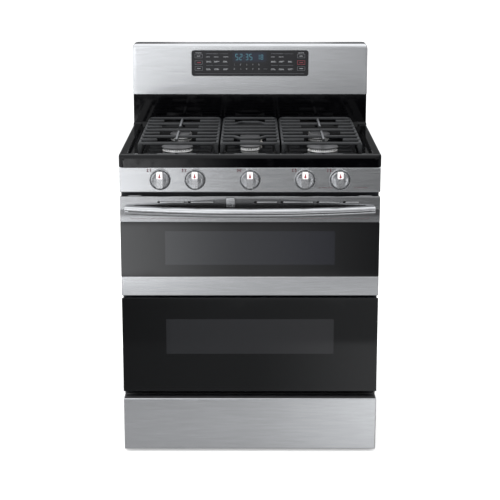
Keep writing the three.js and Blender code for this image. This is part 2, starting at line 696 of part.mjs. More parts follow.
addPiece("chassis", "cooktop", cooktop(), "black_enamel");
for (const [name, { x, y, radius }] of Object.entries(BURNERS)) {
  const place = [x, y, COOKTOP.well];
  addPiece("burners", `burner_head_${name}`, burnerHead(radius), "aluminium", place);
  addPiece("burners", `burner_cap_${name}`, burnerCap(radius), "cast_iron", place);
}
const ovalPlace = [0, OVAL.y, COOKTOP.well];
addPiece("burners", "burner_head_center", ovalHead(), "aluminium", ovalPlace);
addPiece("burners", "burner_cap_center", ovalCap(), "cast_iron", ovalPlace);
addPiece("grates", "grate_left", sideGrate(SIDE_GRATE, -BURNER_X), "cast_iron");
addPiece("grates", "grate_center", centerGrate(CENTER_GRATE), "cast_iron");
addPiece("grates", "grate_right", sideGrate(mirrored(SIDE_GRATE), BURNER_X), "cast_iron");

addPiece("chassis", "control_panel", controlPanel(), "stainless");
addPiece("chassis", "gas_manifold", gasManifold(), "brass");
KNOB_NAMES.forEach((name, i) => {
  addPiece("controls", `valve_stem_${name}`, stem(), "galvanised", [KNOB_X[i], 0, KNOB_Z]);
  const place = [KNOB_X[i], FRONT, KNOB_Z];
  addPiece("controls", `knob_${name}`, knob(), "knob_metal", place, [Math.PI / 2, 0, 0]);
});

addPiece("chassis", "backguard_riser", backguardRiser(), "black_enamel");
addPiece("chassis", "backguard_cover", backguardCover(), "stainless");
addPiece("chassis", "display_glass", displayGlass(), "black_glass");
addPiece("chassis", "control_board", controlBoard(), "board");

addPiece("lower_door", "lower_door_glass", doorGlass(LOWER_DOOR.bottom + 1, LOWER_DOOR.top), "black_glass");
addPiece("lower_door", "lower_door_liner", lowerDoorLiner(), "black_enamel");
const upperGlass = doorGlass(UPPER_DOOR.bandTop + GAP, UPPER_DOOR.trimBottom - GAP);
addPiece("upper_door", "upper_door_glass", upperGlass, "black_glass");
addPiece("upper_door", "upper_door_liner", upperDoorLiner(), "black_enamel");
addPiece("upper_door", "upper_door_top_trim", topTrim(), "stainless");
addPiece("upper_door", "upper_door_bottom_trim", bottomTrim(), "stainless");
addPiece("upper_door", "door_handle", doorHandle(), "chrome");
addPiece("upper_door", "door_release", releaseTrigger(), "chrome");

addPiece("drawer", "drawer_box", drawerBox(), "galvanised");
addPiece("drawer", "drawer_front", drawerFront(), "stainless");
addPiece("drawer", "drawer_cap", drawerCap(), "black_plastic");

export default range;
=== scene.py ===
import json
import math
import random

import bmesh
import bpy
from mathutils import Euler, Matrix, Vector

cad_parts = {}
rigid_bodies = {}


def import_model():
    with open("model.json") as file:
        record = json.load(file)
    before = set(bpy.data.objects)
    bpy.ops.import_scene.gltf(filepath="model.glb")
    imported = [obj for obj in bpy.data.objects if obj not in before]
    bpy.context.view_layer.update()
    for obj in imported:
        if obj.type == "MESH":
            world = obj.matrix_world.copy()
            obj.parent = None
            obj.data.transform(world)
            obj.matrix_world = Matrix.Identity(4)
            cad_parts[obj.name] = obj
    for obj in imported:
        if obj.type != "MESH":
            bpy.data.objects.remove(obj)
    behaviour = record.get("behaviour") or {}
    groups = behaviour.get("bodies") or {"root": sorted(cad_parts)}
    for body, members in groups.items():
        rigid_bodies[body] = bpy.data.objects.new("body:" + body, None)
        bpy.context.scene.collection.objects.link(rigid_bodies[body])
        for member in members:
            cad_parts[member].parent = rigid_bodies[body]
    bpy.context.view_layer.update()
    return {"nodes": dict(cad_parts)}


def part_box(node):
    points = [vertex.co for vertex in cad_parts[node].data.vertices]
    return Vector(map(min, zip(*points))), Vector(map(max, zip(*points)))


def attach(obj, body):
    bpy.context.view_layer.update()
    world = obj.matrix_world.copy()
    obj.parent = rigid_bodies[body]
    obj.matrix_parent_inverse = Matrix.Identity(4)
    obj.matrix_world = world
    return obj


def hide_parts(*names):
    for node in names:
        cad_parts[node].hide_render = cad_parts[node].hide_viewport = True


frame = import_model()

FLAT_WIDTH = 0.0125  # faces wider than this are true planes, not part of a rounding
KNOBS = ["left_outer", "left_inner", "center", "right_inner", "right_outer"]
ROUND_BURNERS = ["front_left", "rear_left", "rear_right", "front_right"]


class Box:
    """The box of a CAD node at rest, in metres."""

    def __init__(self, node):
        low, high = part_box(node)
        self.x0, self.y0, self.z0 = low
        self.x1, self.y1, self.z1 = high
        self.middle = (low + high) / 2


# ---- Node trees ---------------------------------------------------------------------------------
class Value:
    """A socket; arithmetic on it adds Math nodes to its tree."""

    def __init__(self, tree, socket):
        self.tree, self.socket = tree, socket

    def maths(self, operation, *values):
        return self.tree.add("ShaderNodeMath", {"operation": operation}, dict(enumerate(values)))

    def __add__(self, other):
        return self.maths("ADD", self, other)

    def __sub__(self, other):
        return self.maths("SUBTRACT", self, other)

    def __mul__(self, other):
        return self.maths("MULTIPLY", self, other)

    def __truediv__(self, other):
        return self.maths("DIVIDE", self, other)

    def __rsub__(self, other):
        return self.maths("SUBTRACT", other, self)

    __radd__ = __add__
    __rmul__ = __mul__

    def __abs__(self):
        return self.maths("ABSOLUTE", self)

    def sine(self):
        return self.maths("SINE", self)

    def rise(self, low, high, bottom=0.0, top=1.0):
        """A smooth step from bottom at low to top at high."""
        return self.tree.add("ShaderNodeMapRange", {"interpolation_type": "SMOOTHSTEP"},
                             {0: self, 1: low, 2: high, 3: bottom, 4: top})

    def within(self, low, high, soft):
        return self.rise(low - soft, low + soft) * (1 - self.rise(high - soft, high + soft))


class Tree:
    """A node tree that is filled through one method."""

    def __init__(self, tree):
        self.tree = tree

    def add(self, kind, settings=None, sockets=None, output=0):
        node = self.tree.nodes.new(kind)
        for key, value in (settings or {}).items():
            setattr(node, key, value)
        for key, value in (sockets or {}).items():
            socket = node.inputs[key]
            if isinstance(value, Value):
                self.tree.links.new(value.socket, socket)
            elif isinstance(value, (tuple, list)) and len(value) == 3 and socket.type == "RGBA":
                socket.default_value = (*value, 1)
            else:
                socket.default_value = value
        return Value(self, node.outputs[output]) if len(node.outputs) else node


class Finish(Tree):
    """A procedural surface on Object coordinates, in metres."""

    def __init__(self, name):
        self.material = bpy.data.materials.new(name)
        self.material.use_nodes = True
        super().__init__(self.material.node_tree)
        self.tree.nodes.clear()
        self.place = self.add("ShaderNodeTexCoord", output="Object")
        split = self.tree.nodes.new("ShaderNodeSeparateXYZ")
        self.tree.links.new(self.place.socket, split.inputs[0])
        self.x, self.y, self.z = (Value(self, out) for out in split.outputs)

    def noise(self, stretch, detail=2.0, roughness=0.5):
        """Noise from 0 to 1 with so many lumps per metre along x, y and z."""
        if not isinstance(stretch, tuple):
            stretch = (stretch,) * 3
        vector = self.add("ShaderNodeVectorMath", {"operation": "MULTIPLY"}, {0: self.place, 1: stretch})
        return self.add("ShaderNodeTexNoise", {}, {"Vector": vector, "Scale": 1.0, "Detail": detail,
                                                   "Roughness": roughness})

    def cells(self, scale, output="Distance"):
        return self.add("ShaderNodeTexVoronoi", {}, {"Vector": self.place, "Scale": scale}, output)

    def mix(self, factor, first, second):
        return self.add("ShaderNodeMix", {"data_type": "RGBA"}, {0: factor, 6: first, 7: second}, 2)

    def bump(self, height, strength, distance, normal=None):
        sockets = {"Height": height, "Strength": strength, "Distance": distance}
        if normal:
            sockets["Normal"] = normal
        return self.add("ShaderNodeBump", {}, sockets)

    def done(self, **sockets):
        """Ends the tree in a Principled shader and gives the material."""
        names = {key.replace("_", " "): value for key, value in sockets.items()}
        shader = self.add("ShaderNodeBsdfPrincipled", {}, names)
        self.add("ShaderNodeOutputMaterial", {}, {"Surface": shader})
        return self.material


# ---- Finishes -----------------------------------------------------------------------------------
def brushed(name, tone, rough, grain=1.0, smear=0.018, stretch=0.55, painted_handle_shade=None):
    """Steel brushed from left to right, with faint long streaks and finger marks.

    The last argument gives half width, foot and rise of an arched area painted darker, as the handle's shade
    on the trim."""
    f = Finish(name)
    lines = f.noise((9, 950, 950), 3)
    streaks = f.noise((16, 230, 230), 3)
    marks = f.noise(5, 3, 0.5).rise(0.45, 0.8)
    shade = lines.rise(0.32, 0.68) * 0.5 + streaks.rise(0.34, 0.66) * 0.5
    low = tuple(c * 0.93 for c in tone)
    high = tuple(min(1, c * 1.06) for c in tone)
    colour = f.mix(shade, low, high)
    # painted shade: the steel is painted darker inside an arch under the handle
    if painted_handle_shade:
        half, foot, rise = painted_handle_shade
        across = f.x * (1 / half)
        below_shade_arch = ((1 - across * across) * rise + foot - f.z).rise(0.0, 0.0012)
        inside = below_shade_arch * (f.z - 0.722).rise(0.0, 0.012)
        colour = f.mix(inside, colour, tuple(c * 0.52 for c in tone))
    return f.done(Base_Color=colour, Metallic=1.0,
                  Roughness=rough + lines * 0.06 + streaks * 0.04 + marks * smear,
                  Anisotropic=stretch, Anisotropic_Rotation=0.25,
                  Normal=f.bump(lines * 0.6 + streaks * 0.4, 0.006 * grain, 0.0003))


def enamel(name, tone, rough, specular, speck=0.0, fleck=(0.35, 0.38, 0.45)):
    """Vitreous enamel: a wavy gloss with dust, and pale flecks on the oven's."""
    f = Finish(name)
    wave = f.noise(70, 2)
    dust = f.noise(26, 5, 0.65).rise(0.45, 0.8)
    colour = f.mix(dust, tone, tuple(c * 1.35 + 0.0006 for c in tone))
    if speck:
        fleckmask = (1 - f.cells(1300).rise(0.10, 0.26)) * f.noise(300, 1).rise(0.50, 0.62) * speck
        colour = f.mix(fleckmask, colour, fleck)
    return f.done(Base_Color=colour, Roughness=rough + dust * 0.09 + wave * 0.03,
                  Specular_IOR_Level=specular,
                  Normal=f.bump(wave + 0.25 * f.noise(420, 1), 0.035, 0.0006))


def cast(name, tone, rough, coarse, depth, metal=0.0, wear_and_painted_light_above=None):
    """A sand-cast surface with small pits and a worn variation in tone.

    The last argument gives the height above which the top faces are painted paler: partly rub wear from pans,
    partly painted light on the tops."""
    f = Finish(name)
    grain = f.noise(coarse, 4, 0.6)
    worn = f.noise(38, 4, 0.6)
    colour = f.mix(worn.rise(0.35, 0.7), tuple(c * 0.78 for c in tone), tuple(c * 1.3 for c in tone))
    # painted light: faces above this height are painted much paler, for the light the tops catch as well as
    # rub wear
    if wear_and_painted_light_above:
        colour = f.mix(f.z.rise(wear_and_painted_light_above, wear_and_painted_light_above + 0.0008) * (0.6 + worn * 0.4), colour, (0.15, 0.155, 0.165))
    return f.done(Base_Color=colour,
                  Metallic=metal, Roughness=rough + grain * 0.12 + worn * 0.08,
                  Normal=f.bump(grain + 0.4 * worn, 0.5, depth))


def painted(name, tone, rough):
    """Baked paint on sheet steel with orange peel and light scuffs."""
    f = Finish(name)
    peel = f.noise(420, 2)
    scuff = f.noise((30, 30, 7), 5, 0.65).rise(0.58, 0.8)
    return f.done(Base_Color=f.mix(scuff, tone, tuple(c * 1.35 + 0.01 for c in tone)),
                  Roughness=rough + peel * 0.08 + scuff * 0.1, Normal=f.bump(peel, 0.12, 0.0004))


def zinc(name):
    """Galvanised sheet: spangles that differ in tone and gloss, with a dull bloom."""
    f = Finish(name)
    spangle = f.add("ShaderNodeSeparateColor", {}, {0: f.cells(150, "Color")})
    bloom = f.noise(14, 4).rise(0.4, 0.75)
    shade = f.mix(spangle, (0.50, 0.51, 0.525), (0.60, 0.61, 0.625))
    return f.done(Base_Color=f.mix(bloom * 0.5, shade, (0.54, 0.545, 0.55)), Metallic=0.75,
                  Roughness=0.34 + spangle * 0.16 + bloom * 0.12,
                  Normal=f.bump(spangle + f.noise(500, 2) * 0.4, 0.12, 0.0003))


def metal(name, tone, rough):
    """Plain worked metal: fine tool marks, a slight tarnish."""
    f = Finish(name)
    fine = f.noise(900, 2)
    tarnish = f.noise(45, 4).rise(0.4, 0.75)
    return f.done(Base_Color=f.mix(tarnish, tone, tuple(c * 0.86 for c in tone)), Metallic=1.0,
                  Roughness=rough + fine * 0.07 + tarnish * 0.08, Normal=f.bump(fine, 0.08, 0.0002))


def moulded(name, tone, rough, specular=0.4):
    """Moulded plastic or rubber with a fine grain and handling shine."""
    f = Finish(name)
    grain = f.noise(1500, 2)
    shine = f.noise(32, 4).rise(0.4, 0.75)
    return f.done(Base_Color=f.mix(shine, tone, tuple(c * 1.25 + 0.003 for c in tone)),
                  Roughness=rough + grain * 0.1 - shine * 0.08, Specular_IOR_Level=specular,
                  Normal=f.bump(grain, 0.2, 0.0002))


def door_glass(name, window, border, window_tone_and_painted_light, specular):
    """Black printed glass around a dark tinted window with a dotted edge."""
    f = Finish(name)
    (x0, x1), (z0, z1) = window
    inside = f.x.within(x0, x1, 0.0015) * f.z.within(z0, z1, 0.0015)
    # painted light: the window's tint fades from its left tone to its right tone, as light falls unevenly
    # across it
    painted_light_fade = f.x.rise(x0, x1)
    dots = (f.x * 2100).sine() * (f.z * 2100).sine()
    grille = dots.rise(-0.2, 0.5) * f.x.within(x0 + 0.012, x1 - 0.012, 0.004)
    haze = f.noise(9, 5, 0.62).rise(0.5, 0.8)
    left, right = window_tone_and_painted_light
    glow = f.mix(painted_light_fade, left, right)
    glow = f.mix(grille * 0.25, glow, tuple(c * 1.7 for c in right))
    return f.done(Base_Color=f.mix(inside, border, glow), Roughness=0.035 + haze * 0.05,
                  Specular_IOR_Level=specular, Normal=f.bump(f.noise(3, 0), 0.01, 0.001))


def lettering(name, tone, glow=0.0, rough=0.4):
    """Screen-printed ink, or a lit segment, a little uneven."""
    f = Finish(name)
    uneven = f.noise(260, 3)
    colour = f.mix(uneven, tuple(c * 0.85 for c in tone), tone)
    return f.done(Base_Color=colour, Roughness=rough + uneven * 0.1, Emission_Color=colour,
                  Emission_Strength=glow)


def board_green():
    f = Finish("printed_board")
    tracks = (f.x * 900).sine().rise(0.55, 0.8) * f.noise((40, 40, 160), 2).rise(0.45, 0.55)
    return f.done(Base_Color=f.mix(tracks, (0.02, 0.12, 0.05), (0.10, 0.32, 0.14)),
                  Roughness=0.4 + f.noise(300, 2) * 0.2, Normal=f.bump(tracks, 0.2, 0.0002))


def braid(name):
    """The woven gasket around the door opening."""
    f = Finish(name)
    weave = ((f.x + f.z) * 2600).sine() * ((f.x - f.z) * 2600).sine()
    fuzz = f.noise(900, 3)
    return f.done(Base_Color=f.mix(weave.rise(-0.3, 0.6), (0.09, 0.09, 0.092), (0.22, 0.22, 0.225)),
                  Roughness=0.75 + fuzz * 0.2, Normal=f.bump(weave + fuzz, 0.6, 0.0006))


STEEL_TONE = (0.62, 0.625, 0.635)
steel = brushed("brushed_stainless", STEEL_TONE, 0.165, stretch=0.25)
# painted shade: the door's top trim is a copy of the steel painted darker, for the shade the handle casts on
# it
TRIM_PAINTED_SHADE = 0.68  # how dark the door's top trim is beside the other steel
trim_steel_painted_shade = brushed("brushed_door_trim", tuple(c * TRIM_PAINTED_SHADE for c in STEEL_TONE), 0.165, stretch=0.25,
                     painted_handle_shade=(0.360, 0.7500, 0.0300))
bright_bar = brushed("bright_handle_bar", (0.56, 0.565, 0.575), 0.15, grain=0.12, smear=0.01, stretch=0.0)
knob_satin = metal("knob_satin_metal", (0.62, 0.62, 0.63), 0.20)
knob_ring = metal("knob_ring_metal", (0.56, 0.565, 0.575), 0.20)
knob_bright = metal("knob_bright_rim", (0.78, 0.785, 0.79), 0.10)
black_gloss = enamel("cooktop_black_enamel", (0.0006, 0.0006, 0.0010), 0.045, 0.26)
oven_coat = enamel("speckled_oven_enamel", (0.022, 0.024, 0.030), 0.17, 0.5, speck=0.25)
# the grate bar tops are painted paler: painted light on the tops, with some rub wear
iron = cast("grate_cast_iron", (0.015, 0.016, 0.018), 0.36, 850, 0.0004, wear_and_painted_light_above=0.9334)
cap_iron = cast("burner_cap_enamel", (0.062, 0.062, 0.065), 0.32, 1100, 0.0002)
head_cast = cast("burner_cast_aluminium", (0.90, 0.90, 0.90), 0.38, 900, 0.0003, metal=0.08)
side_paint = painted("dark_grey_side_paint", (0.062, 0.063, 0.067), 0.42)
galvanised = zinc("galvanised_sheet")
plated = metal("plated_rack_wire", (0.74, 0.74, 0.745), 0.16)
brass = metal("machined_brass", (0.62, 0.46, 0.20), 0.24)
screw_zinc = metal("zinc_screw", (0.55, 0.55, 0.56), 0.28)
plastic = moulded("moulded_black_plastic", (0.016, 0.016, 0.017), 0.42)
rubber = moulded("black_foot", (0.025, 0.025, 0.026), 0.62, 0.3)
shadow_black = moulded("vent_shadow_black", (0.004, 0.004, 0.004), 0.7, 0.1)
ceramic = moulded("igniter_ceramic", (0.62, 0.60, 0.56), 0.35)
lamp_glass = moulded("oven_lamp_glass", (0.55, 0.54, 0.50), 0.12, 0.6)
gasket_braid = braid("woven_door_gasket")
board = board_green()
pale_ink = lettering("pale_key_legend", (0.42, 0.43, 0.45))
grey_ink = lettering("grey_key_outline", (0.16, 0.165, 0.18))
red_ink = lettering("red_key_legend", (0.40, 0.05, 0.07))
teal_light = lettering("teal_display_segment", (0.06, 0.20, 0.25), 0.45)
red_mark = lettering("red_knob_mark", (0.26, 0.008, 0.02))
panel_mark = lettering("grey_panel_mark", (0.10, 0.035, 0.045))
# painted glow: the white knob insert is given a faint light of its own, though it is no lamp
white_insert_painted_glow = lettering("white_knob_insert", (0.92, 0.87, 0.88), 0.16)


# ---- Mesh making --------------------------------------------------------------------------------
AXES = {"x": lambda u, v, w: (w, u, v), "y": lambda u, v, w: (u, w, v), "z": lambda u, v, w: (u, v, w)}


def rounded(u, v, radius, steps=5):
    """A rectangle with round corners, from two (low, high) pairs."""
    radius = max(1e-5, min(radius, (u[1] - u[0]) / 2 - 1e-5, (v[1] - v[0]) / 2 - 1e-5))
    corners = [(u[1] - radius, v[0] + radius, -90), (u[1] - radius, v[1] - radius, 0),
               (u[0] + radius, v[1] - radius, 90), (u[0] + radius, v[0] + radius, 180)]
    points = []
    for cu, cv, start in corners:
        for i in range(steps + 1):
            turn = math.radians(start + 90 * i / steps)
            points.append((cu + radius * math.cos(turn), cv + radius * math.sin(turn)))
    return points


def circle(radius, steps, middle=(0, 0), turn=0.0):
    return [(middle[0] + radius * math.cos(turn + 2 * math.pi * i / steps),
             middle[1] + radius * math.sin(turn + 2 * math.pi * i / steps)) for i in range(steps)]


class Form:
    """Closed shells gathered into one mesh, each with its own finish."""

    def __init__(self):
        self.verts, self.faces, self.marks, self.finishes = [], [], [], []

    def shell(self, verts, faces, finish):
        if finish not in self.finishes:
            self.finishes.append(finish)
        base = len(self.verts)
        self.verts += [tuple(v) for v in verts]
        self.faces += [tuple(base + i for i in face) for face in faces]
        self.marks += [self.finishes.index(finish)] * len(faces)
        return self

    def loft(self, rings, finish, loop=False):
        """Rings of equally many points joined in order, closed at both ends unless they loop."""
        n = len(rings[0])
        verts = [point for ring in rings for point in ring]
        pairs = [(i, i + 1) for i in range(len(rings) - 1)] + ([(len(rings) - 1, 0)] if loop else [])
        faces = [(a * n + i, a * n + (i + 1) % n, b * n + (i + 1) % n, b * n + i)
                 for a, b in pairs for i in range(n)]
        if not loop:
            faces += [tuple(range(n))[::-1], tuple((len(rings) - 1) * n + i for i in range(n))]
        return self.shell(verts, faces, finish)

    def slab(self, x, y, z, finish, axis="y", edge=0.001, corner=0.002, steps=3, back=None):
        """A block whose outline across the axis has round corners and whose rims are rounded."""
        spans = {"x": (y, z, x), "y": (x, z, y), "z": (x, y, z)}
        u, v, w = spans[axis]
        rings = []
        for end, sign in ((w[0], 1), (w[1], -1)):
            radius = edge if sign > 0 or back is None else back
            turns = [math.radians(90 * i / steps) for i in range(steps + 1)]
            for turn in turns if sign > 0 else turns[::-1]:
                inset = radius * (1 - math.sin(turn))
                deep = radius * (1 - math.cos(turn))
                outline = rounded((u[0] + inset, u[1] - inset), (v[0] + inset, v[1] - inset),
                                  max(corner - inset, 1e-5))
                rings.append([AXES[axis](a, b, end + sign * deep) for a, b in outline])
        return self.loft(rings, finish)

    def pan(self, x, y, z, finish, wall=0.0015, edge=0.003, corner=0.004, steps=4):
        """A folded cover: a front face with rounded edges, open at the back."""
        rings = []
        for i in range(steps + 1):
            turn = math.radians(90 * i / steps)
            inset, deep = edge * (1 - math.sin(turn)), edge * (1 - math.cos(turn))
            rings.append([(a, y[0] + deep, b) for a, b in rounded(
                (x[0] + inset, x[1] - inset), (z[0] + inset, z[1] - inset), max(corner - inset, 1e-5))])
        for inset, depth in ((0, y[1]), (wall, y[1]), (wall, y[0] + wall + 0.0005)):
            rings.append([(a, depth, b) for a, b in rounded(
                (x[0] + inset, x[1] - inset), (z[0] + inset, z[1] - inset), max(corner - inset, 1e-5))])
        return self.loft(rings, finish)

    def turned(self, profile, centre, finish, axis="z", steps=48, sign=1):
        """A shape turned about an axis through centre, from (radius, height) pairs."""
        rings = []
        for radius, height in profile:
            ring = circle(max(radius, 1e-6), steps)
            rings.append([tuple(Vector(centre) + Vector(AXES[axis](a, b, sign * height)))
                          for a, b in ring])
        closed = profile[0] == profile[-1]
        return self.loft(rings[:-1] if closed else rings, finish, loop=closed)

    def bar(self, path, width, low, high, finish, loop=False, taper=0.72, blunt=0.0015):
        """A cast bar along points in plan: wide below, narrower and rounded on top."""
        points = [Vector((p[0], p[1], p[2] if len(p) > 2 else 0)) for p in path]
        half, top = width / 2, width / 2 * taper
        height = high - low
        section = [(-half * 0.9, 0), (half * 0.9, 0), (half, height * 0.14), (top + 0.0004, height * 0.80),
                   (top * 0.72, height * 0.96), (top * 0.3, height), (-top * 0.3, height),
                   (-top * 0.72, height * 0.96), (-top - 0.0004, height * 0.80), (-half, height * 0.14)]
        rings = []
        for i, point in enumerate(points):
            ahead = points[(i + 1) % len(points)] if loop or i + 1 < len(points) else point
            behind = points[i - 1] if loop or i else point
            one, two = (point - behind), (ahead - point)
            one.z = two.z = 0
            one = one.normalized() if one.length > 1e-9 else two.normalized()
            two = two.normalized() if two.length > 1e-9 else one
            way = (one + two).normalized()
            spread = 1 / max(0.5, way.dot(one))
            side = Vector((way.y, -way.x, 0)) * spread
            rings.append([tuple(point + side * a + Vector((0, 0, low + b))) for a, b in section])
        if not loop:
            for end, inner in ((0, 1), (-1, -2)):
                way = (points[end] - points[inner]).normalized()
                centre = points[end] + Vector((0, 0, low + height / 2))
                cap = [tuple(centre + (Vector(p) - centre) * 0.72 + way * blunt) for p in rings[end]]
                rings = [cap] + rings if end == 0 else rings + [cap]
        return self.loft(rings, finish, loop=loop)

    def mesh(self, name):
        mesh = bpy.data.meshes.new(name)
        mesh.from_pydata(self.verts, [], self.faces)
        for finish in self.finishes:
            mesh.materials.append(finish)
        mesh.polygons.foreach_set("material_index", self.marks)
        work = bmesh.new()
        work.from_mesh(mesh)
        bmesh.ops.remove_doubles(work, verts=work.verts, dist=2e-6)
        bmesh.ops.dissolve_degenerate(work, edges=work.edges, dist=1e-7)
        bmesh.ops.recalc_face_normals(work, faces=work.faces)
        work.to_mesh(mesh)
        work.free()
        return mesh

    def piece(self, name, body, slot, *stands_for, smooth=35):
        return complete(name, self.mesh(name), body, stands_for, smooth)


def complete(name, mesh, body, stands_for=(), smooth=35, pressed=False):
    """Makes a finished mesh a piece that rides on its body.

    pressed: a sheet with holes, whose level faces are flat however thin the cuts leave them."""
    mesh.polygons.foreach_set("use_smooth", [True] * len(mesh.polygons))
    mesh.set_sharp_from_angle(angle=math.radians(smooth))
    for face in mesh.polygons:
        longest = max((mesh.vertices[a].co - mesh.vertices[b].co).length for a, b in face.edge_keys)
        level = pressed and max(abs(c) for c in face.normal) > 0.9999
        face.use_smooth = not level and face.area / longest < FLAT_WIDTH
    obj = bpy.data.objects.new(name, mesh)
    bpy.context.scene.collection.objects.link(obj)
    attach(obj, body)
    if stands_for:
        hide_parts(*stands_for)
    return obj


def plain(name, mesh, modifiers):
    """The mesh that modifiers make from another, with none of them left."""
    obj = bpy.data.objects.new(name, mesh)
    bpy.context.scene.collection.objects.link(obj)
    modifiers(obj)
    bpy.context.view_layer.update()
    graph = bpy.context.evaluated_depsgraph_get()
    result = bpy.data.meshes.new_from_object(obj.evaluated_get(graph), depsgraph=graph)
    obj.modifiers.clear()
    bpy.data.objects.remove(obj)
    result.name = name
    return result


def pierced(name, mesh, tools):
    """The mesh with the shells of another form cut out of it."""
    cutter = bpy.data.objects.new(name + "_cut", tools.mesh(name + "_cut"))
    bpy.context.scene.collection.objects.link(cutter)

    def subtract(obj):
        modifier = obj.modifiers.new("cut", "BOOLEAN")
        modifier.operation, modifier.solver, modifier.object = "DIFFERENCE", "EXACT", cutter

    result = plain(name, mesh, subtract)
    bpy.data.objects.remove(cutter)
    return result


def softened(node, name, finish, body, width=0.0006, smooth=40):
    """Stands for a CAD node: the same shape with its sharp edges broken."""
    work = bmesh.new()
    work.from_mesh(frame["nodes"][node].data)
    bmesh.ops.remove_doubles(work, verts=work.verts, dist=2e-6)
    bmesh.ops.dissolve_limit(work, angle_limit=math.radians(0.6), verts=work.verts, edges=work.edges)
    sharp = [e for e in work.edges if len(e.link_faces) == 2 and e.calc_face_angle() > math.radians(28)]
    bmesh.ops.bevel(work, geom=sharp, offset=width, segments=2, profile=0.6, affect="EDGES",
                    clamp_overlap=True)
    mesh = bpy.data.meshes.new(name)
    work.to_mesh(mesh)
    work.free()
    mesh.materials.clear()
    mesh.materials.append(finish)
    return complete(name, mesh, body, (node,), smooth)


def coat(finish, *nodes):
    """Gives kept CAD nodes their finish."""
    for node in nodes:
        for slot in frame["nodes"][node].material_slots:
            slot.material = finish


# ---- Repeating pieces by geometry nodes -----------------------------------------------------------
class Pattern(Tree):
    """A geometry node tree with named inputs, run once on a mesh of points or lines."""

    def __init__(self, name, inputs):
        super().__init__(bpy.data.node_groups.new(name, "GeometryNodeTree"))
        face = self.tree.interface
        face.new_socket("Geometry", in_out="INPUT", socket_type="NodeSocketGeometry")
        self.ids = {label: face.new_socket(label, in_out="INPUT", socket_type="NodeSocket" + kind).identifier
                    for label, kind in inputs.items()}
        face.new_socket("Geometry", in_out="OUTPUT", socket_type="NodeSocketGeometry")
        self.source = self.tree.nodes.new("NodeGroupInput")

    def given(self, label):
        return Value(self, self.source.outputs[label])

    def end(self, geometry):
        realized = self.add("GeometryNodeRealizeInstances", {}, {0: geometry})
        coated = self.add("GeometryNodeSetMaterial", {}, {0: realized, "Material": self.given("Finish")})
        self.add("NodeGroupOutput", {}, {0: coated})

    def run(self, name, mesh, **values):
        def modify(obj):
            modifier = obj.modifiers.new("pattern", "NODES")
            modifier.node_group = self.tree
            for label, value in values.items():
                modifier[self.ids[label]] = value

        return plain(name, mesh, modify)


def copies_pattern():
    """A part set at every point, with a random turn about one axis."""
    p = Pattern("copies_on_points", {"Part": "Object", "Turn": "Vector", "Seed": "Int", "Finish": "Material"})
    part = p.add("GeometryNodeObjectInfo", {}, {"Object": p.given("Part")}, "Geometry")
    chance = p.add("FunctionNodeRandomValue", {"data_type": "FLOAT"},
                   {2: -1.0, 3: 1.0, "Seed": p.given("Seed")}, 1)
    spin = p.add("ShaderNodeVectorMath", {"operation": "SCALE"}, {0: p.given("Turn"), "Scale": chance})
    turn = p.add("FunctionNodeEulerToRotation", {}, {0: spin})
    p.end(p.add("GeometryNodeInstanceOnPoints", {},
                {"Points": p.given("Geometry"), "Instance": part, "Rotation": turn}))
    return p


def wires_pattern():
    """Round wire along every line of a mesh, with bent corners."""
    p = Pattern("bent_wires", {"Radius": "Float", "Bend": "Float", "Finish": "Material"})
    lines = p.add("GeometryNodeMeshToCurve", {}, {0: p.given("Geometry")})
    bent = p.add("GeometryNodeFilletCurve", {"mode": "POLY"},
                 {"Curve": lines, "Count": 5, "Radius": p.given("Bend"), "Limit Radius": True})
    section = p.add("GeometryNodeCurvePrimitiveCircle", {}, {"Resolution": 10, "Radius": p.given("Radius")})
    p.end(p.add("GeometryNodeCurveToMesh", {}, {0: bent, 1: section, "Fill Caps": True}))
    return p


def ring_pattern():
    """Small blocks around a ring, pointing outwards: the burner ports."""
    p = Pattern("blocks_on_ring", {"Count": "Int", "Ring": "Float", "Block": "Vector",
                                   "Finish": "Material"})
    ring = p.add("GeometryNodeMeshCircle", {}, {"Vertices": p.given("Count"), "Radius": p.given("Ring")})
    block = p.add("GeometryNodeMeshCube", {}, {"Size": p.given("Block")})
    place = p.add("GeometryNodeInputPosition")
    turn = p.add("FunctionNodeAlignRotationToVector", {"axis": "X", "pivot_axis": "Z"}, {"Vector": place})
    p.end(p.add("GeometryNodeInstanceOnPoints", {},
                {"Points": ring, "Instance": block, "Rotation": turn}))
    return p


copies, wires, ring = copies_pattern(), wires_pattern(), ring_pattern()


def points_mesh(points, edges=()):
    mesh = bpy.data.meshes.new("points")
    mesh.from_pydata([tuple(p) for p in points], list(edges), [])
    return mesh


def lines_mesh(paths):
    """One mesh of separate lines; a path that ends where it starts is closed."""
    points, edges = [], []
    for path in paths:
        first = len(points)
        closed = path[0] == path[-1]
        points += path[:-1] if closed else path
        edges += [(i, i + 1) for i in range(first, len(points) - 1)]
        if closed:
            edges.append((len(points) - 1, first))
    return points_mesh(points, edges)


def spread(name, part, points, finish, body, slot, turn=(0, 0, 0), seed=3, smooth=35):
    """Copies of one small form at many points, as one piece."""
    obj = bpy.data.objects.new(name + "_part", part.mesh(name + "_part"))
    bpy.context.scene.collection.objects.link(obj)
    mesh = copies.run(name, points_mesh(points), Part=obj, Turn=turn, Seed=seed, Finish=finish)
    bpy.data.objects.remove(obj)
    return complete(name, mesh, body, (), smooth)


def screw(axis, sign, radius=0.0036):
    """A pan head screw with a cross slot, its head towards sign along the axis."""
    head = Form()
    head.turned([(0, 0.0), (radius, 0.0), (radius, 0.0006), (radius * 0.8, 0.0013), (radius * 0.32, 0.0015),
                 (0, 0.0009)], (0, 0, 0), screw_zinc, axis, 16, sign)
    return head


